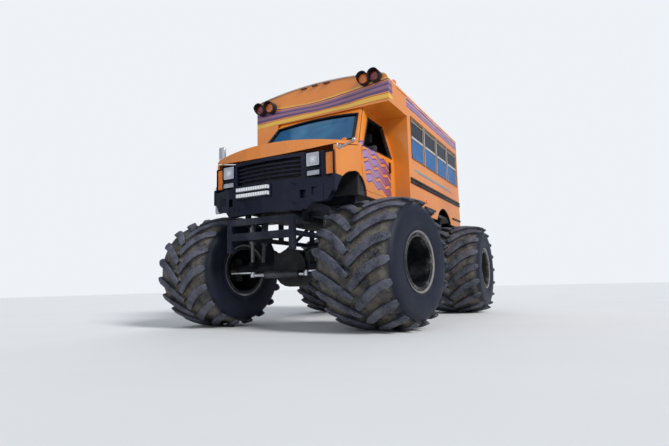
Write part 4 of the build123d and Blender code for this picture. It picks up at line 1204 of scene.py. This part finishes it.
seat_cloth = Finish("seat_cloth", Roughness=0.9, Specular_IOR_Level=0.2, Sheen_Weight=0.3)
cloth_x, cloth_y, cloth_z = seat_cloth.axes()
threads_a_metre, channels_a_metre = 420.0, 9.0
warp = (cloth_x * threads_a_metre).saw().between(0.2, 0.8)
weft = ((cloth_y + cloth_z) * threads_a_metre).saw().between(0.2, 0.8)
channels = abs((cloth_x * channels_a_metre).saw() - 0.5).swell(0.42, 0.5)
greys = seat_cloth.mix(seat_cloth.noise(9.0), (0.030, 0.032, 0.040), (0.055, 0.056, 0.066))
sewn = seat_cloth.bump(channels * -1.0, 0.012, 0.6)
seat_cloth.set(
    Base_Color=seat_cloth.mix(channels * 0.6, greys, (0.012, 0.012, 0.015)),
    Normal=seat_cloth.bump(warp * weft, 0.001, 0.4, sewn),
)
seat_base = cushion("pad", (0.262, 0.872, 2.150), (0.738, 1.330, 2.262), 0.022)
seat_back = cushion("pad", (0.272, 1.310, 2.290), (0.728, 1.385, 2.860), 0.022)
leaned(seat_back, (1.345, 2.250), radians(7.2))
headrest = cushion("pad", (0.385, 1.415, 2.895), (0.615, 1.470, 3.060), 0.016)
seat_pads = [
    # name, piece, how full it is
    ("driver_cushion", seat_base, 0.7),
    ("driver_back", seat_back, 0.7),
    ("driver_headrest", headrest, 0.8),
]
stand = [
    block("base", (0.260, 0.870, 1.850), (0.740, 1.330, 2.060), 0.012),
    block("rail", (0.280, 0.860, 2.060), (0.320, 1.390, 2.125), 0.005),
    block("rail", (0.680, 0.860, 2.060), (0.720, 1.390, 2.125), 0.005),
]
pedestal = fitted("driver_pedestal", stand, black_rubber)
for name, pad, fill in seat_pads:
    pad.name = name
    dressed(pad, seat_cloth, "chassis")
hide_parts("driver_seat")

# Passenger benches
# Four rows of school bus benches on each side, padded in dark green-grey vinyl over foam, on
# steel legs bolted to the floor.
bench_vinyl = Finish("bench_vinyl", Roughness=0.5, Specular_IOR_Level=0.4)
bench_dust = wear(bench_vinyl) * 0.4
bench_vinyl.set(
    Base_Color=bench_vinyl.mix(bench_dust, (0.018, 0.028, 0.032), (0.060, 0.066, 0.068)),
    Normal=bench_vinyl.bump(bench_vinyl.noise(180.0, 3.0), 0.0012, 0.4),
)
bench_rows = (1.750, 2.480, 3.210, 3.940)
bench_in, bench_out = 0.300, 1.130
pad_x = (bench_in + 0.020, bench_out - 0.020)
seat_form = cushion("pad", *corners(1, pad_x, (0.018, 0.352), (2.246, 2.336)), 0.022, 0.013)
back_form = cushion("pad", *corners(1, pad_x, (0.352, 0.418), (2.260, 2.835)), 0.018, 0.013)
leaned(back_form, (0.385, 2.240), radians(7.5))
legs = []
for side in (1, -1):
    for row, start in enumerate(bench_rows):
        word = ("left" if side > 0 else "right") + "_" + str(row + 1)
        across = Matrix.Translation((0 if side > 0 else -(bench_in + bench_out), start, 0))
        for kind, form in (("seat", seat_form), ("back", back_form)):
            pad = copied(form, "bench_" + kind + "_" + word, across)
            dressed(pad, bench_vinyl, "chassis")
        for x in (bench_in + 0.110, bench_out - 0.100):
            legs.append(open_frame("leg", *corners(
                side, (x - 0.018, x + 0.018), (start + 0.045, start + 0.370), (1.852, 2.225),
            ), 0.032, 0, 0.006))
removed(seat_form, back_form)
leg_piece = fitted("bench_legs", legs, black_rubber)
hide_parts("passenger_seats")

# Dashboard and steering wheel
# Moulded dark grey plastic with a grained skin, screwed to the cab behind the windscreen, and
# a round steering wheel with a soft rim on its column.
dash_plastic = painted_black("dash_plastic", (0.022, 0.022, 0.025), dust_tan, 0.35, 0.55)
coat_node(dash_plastic, "dashboard")
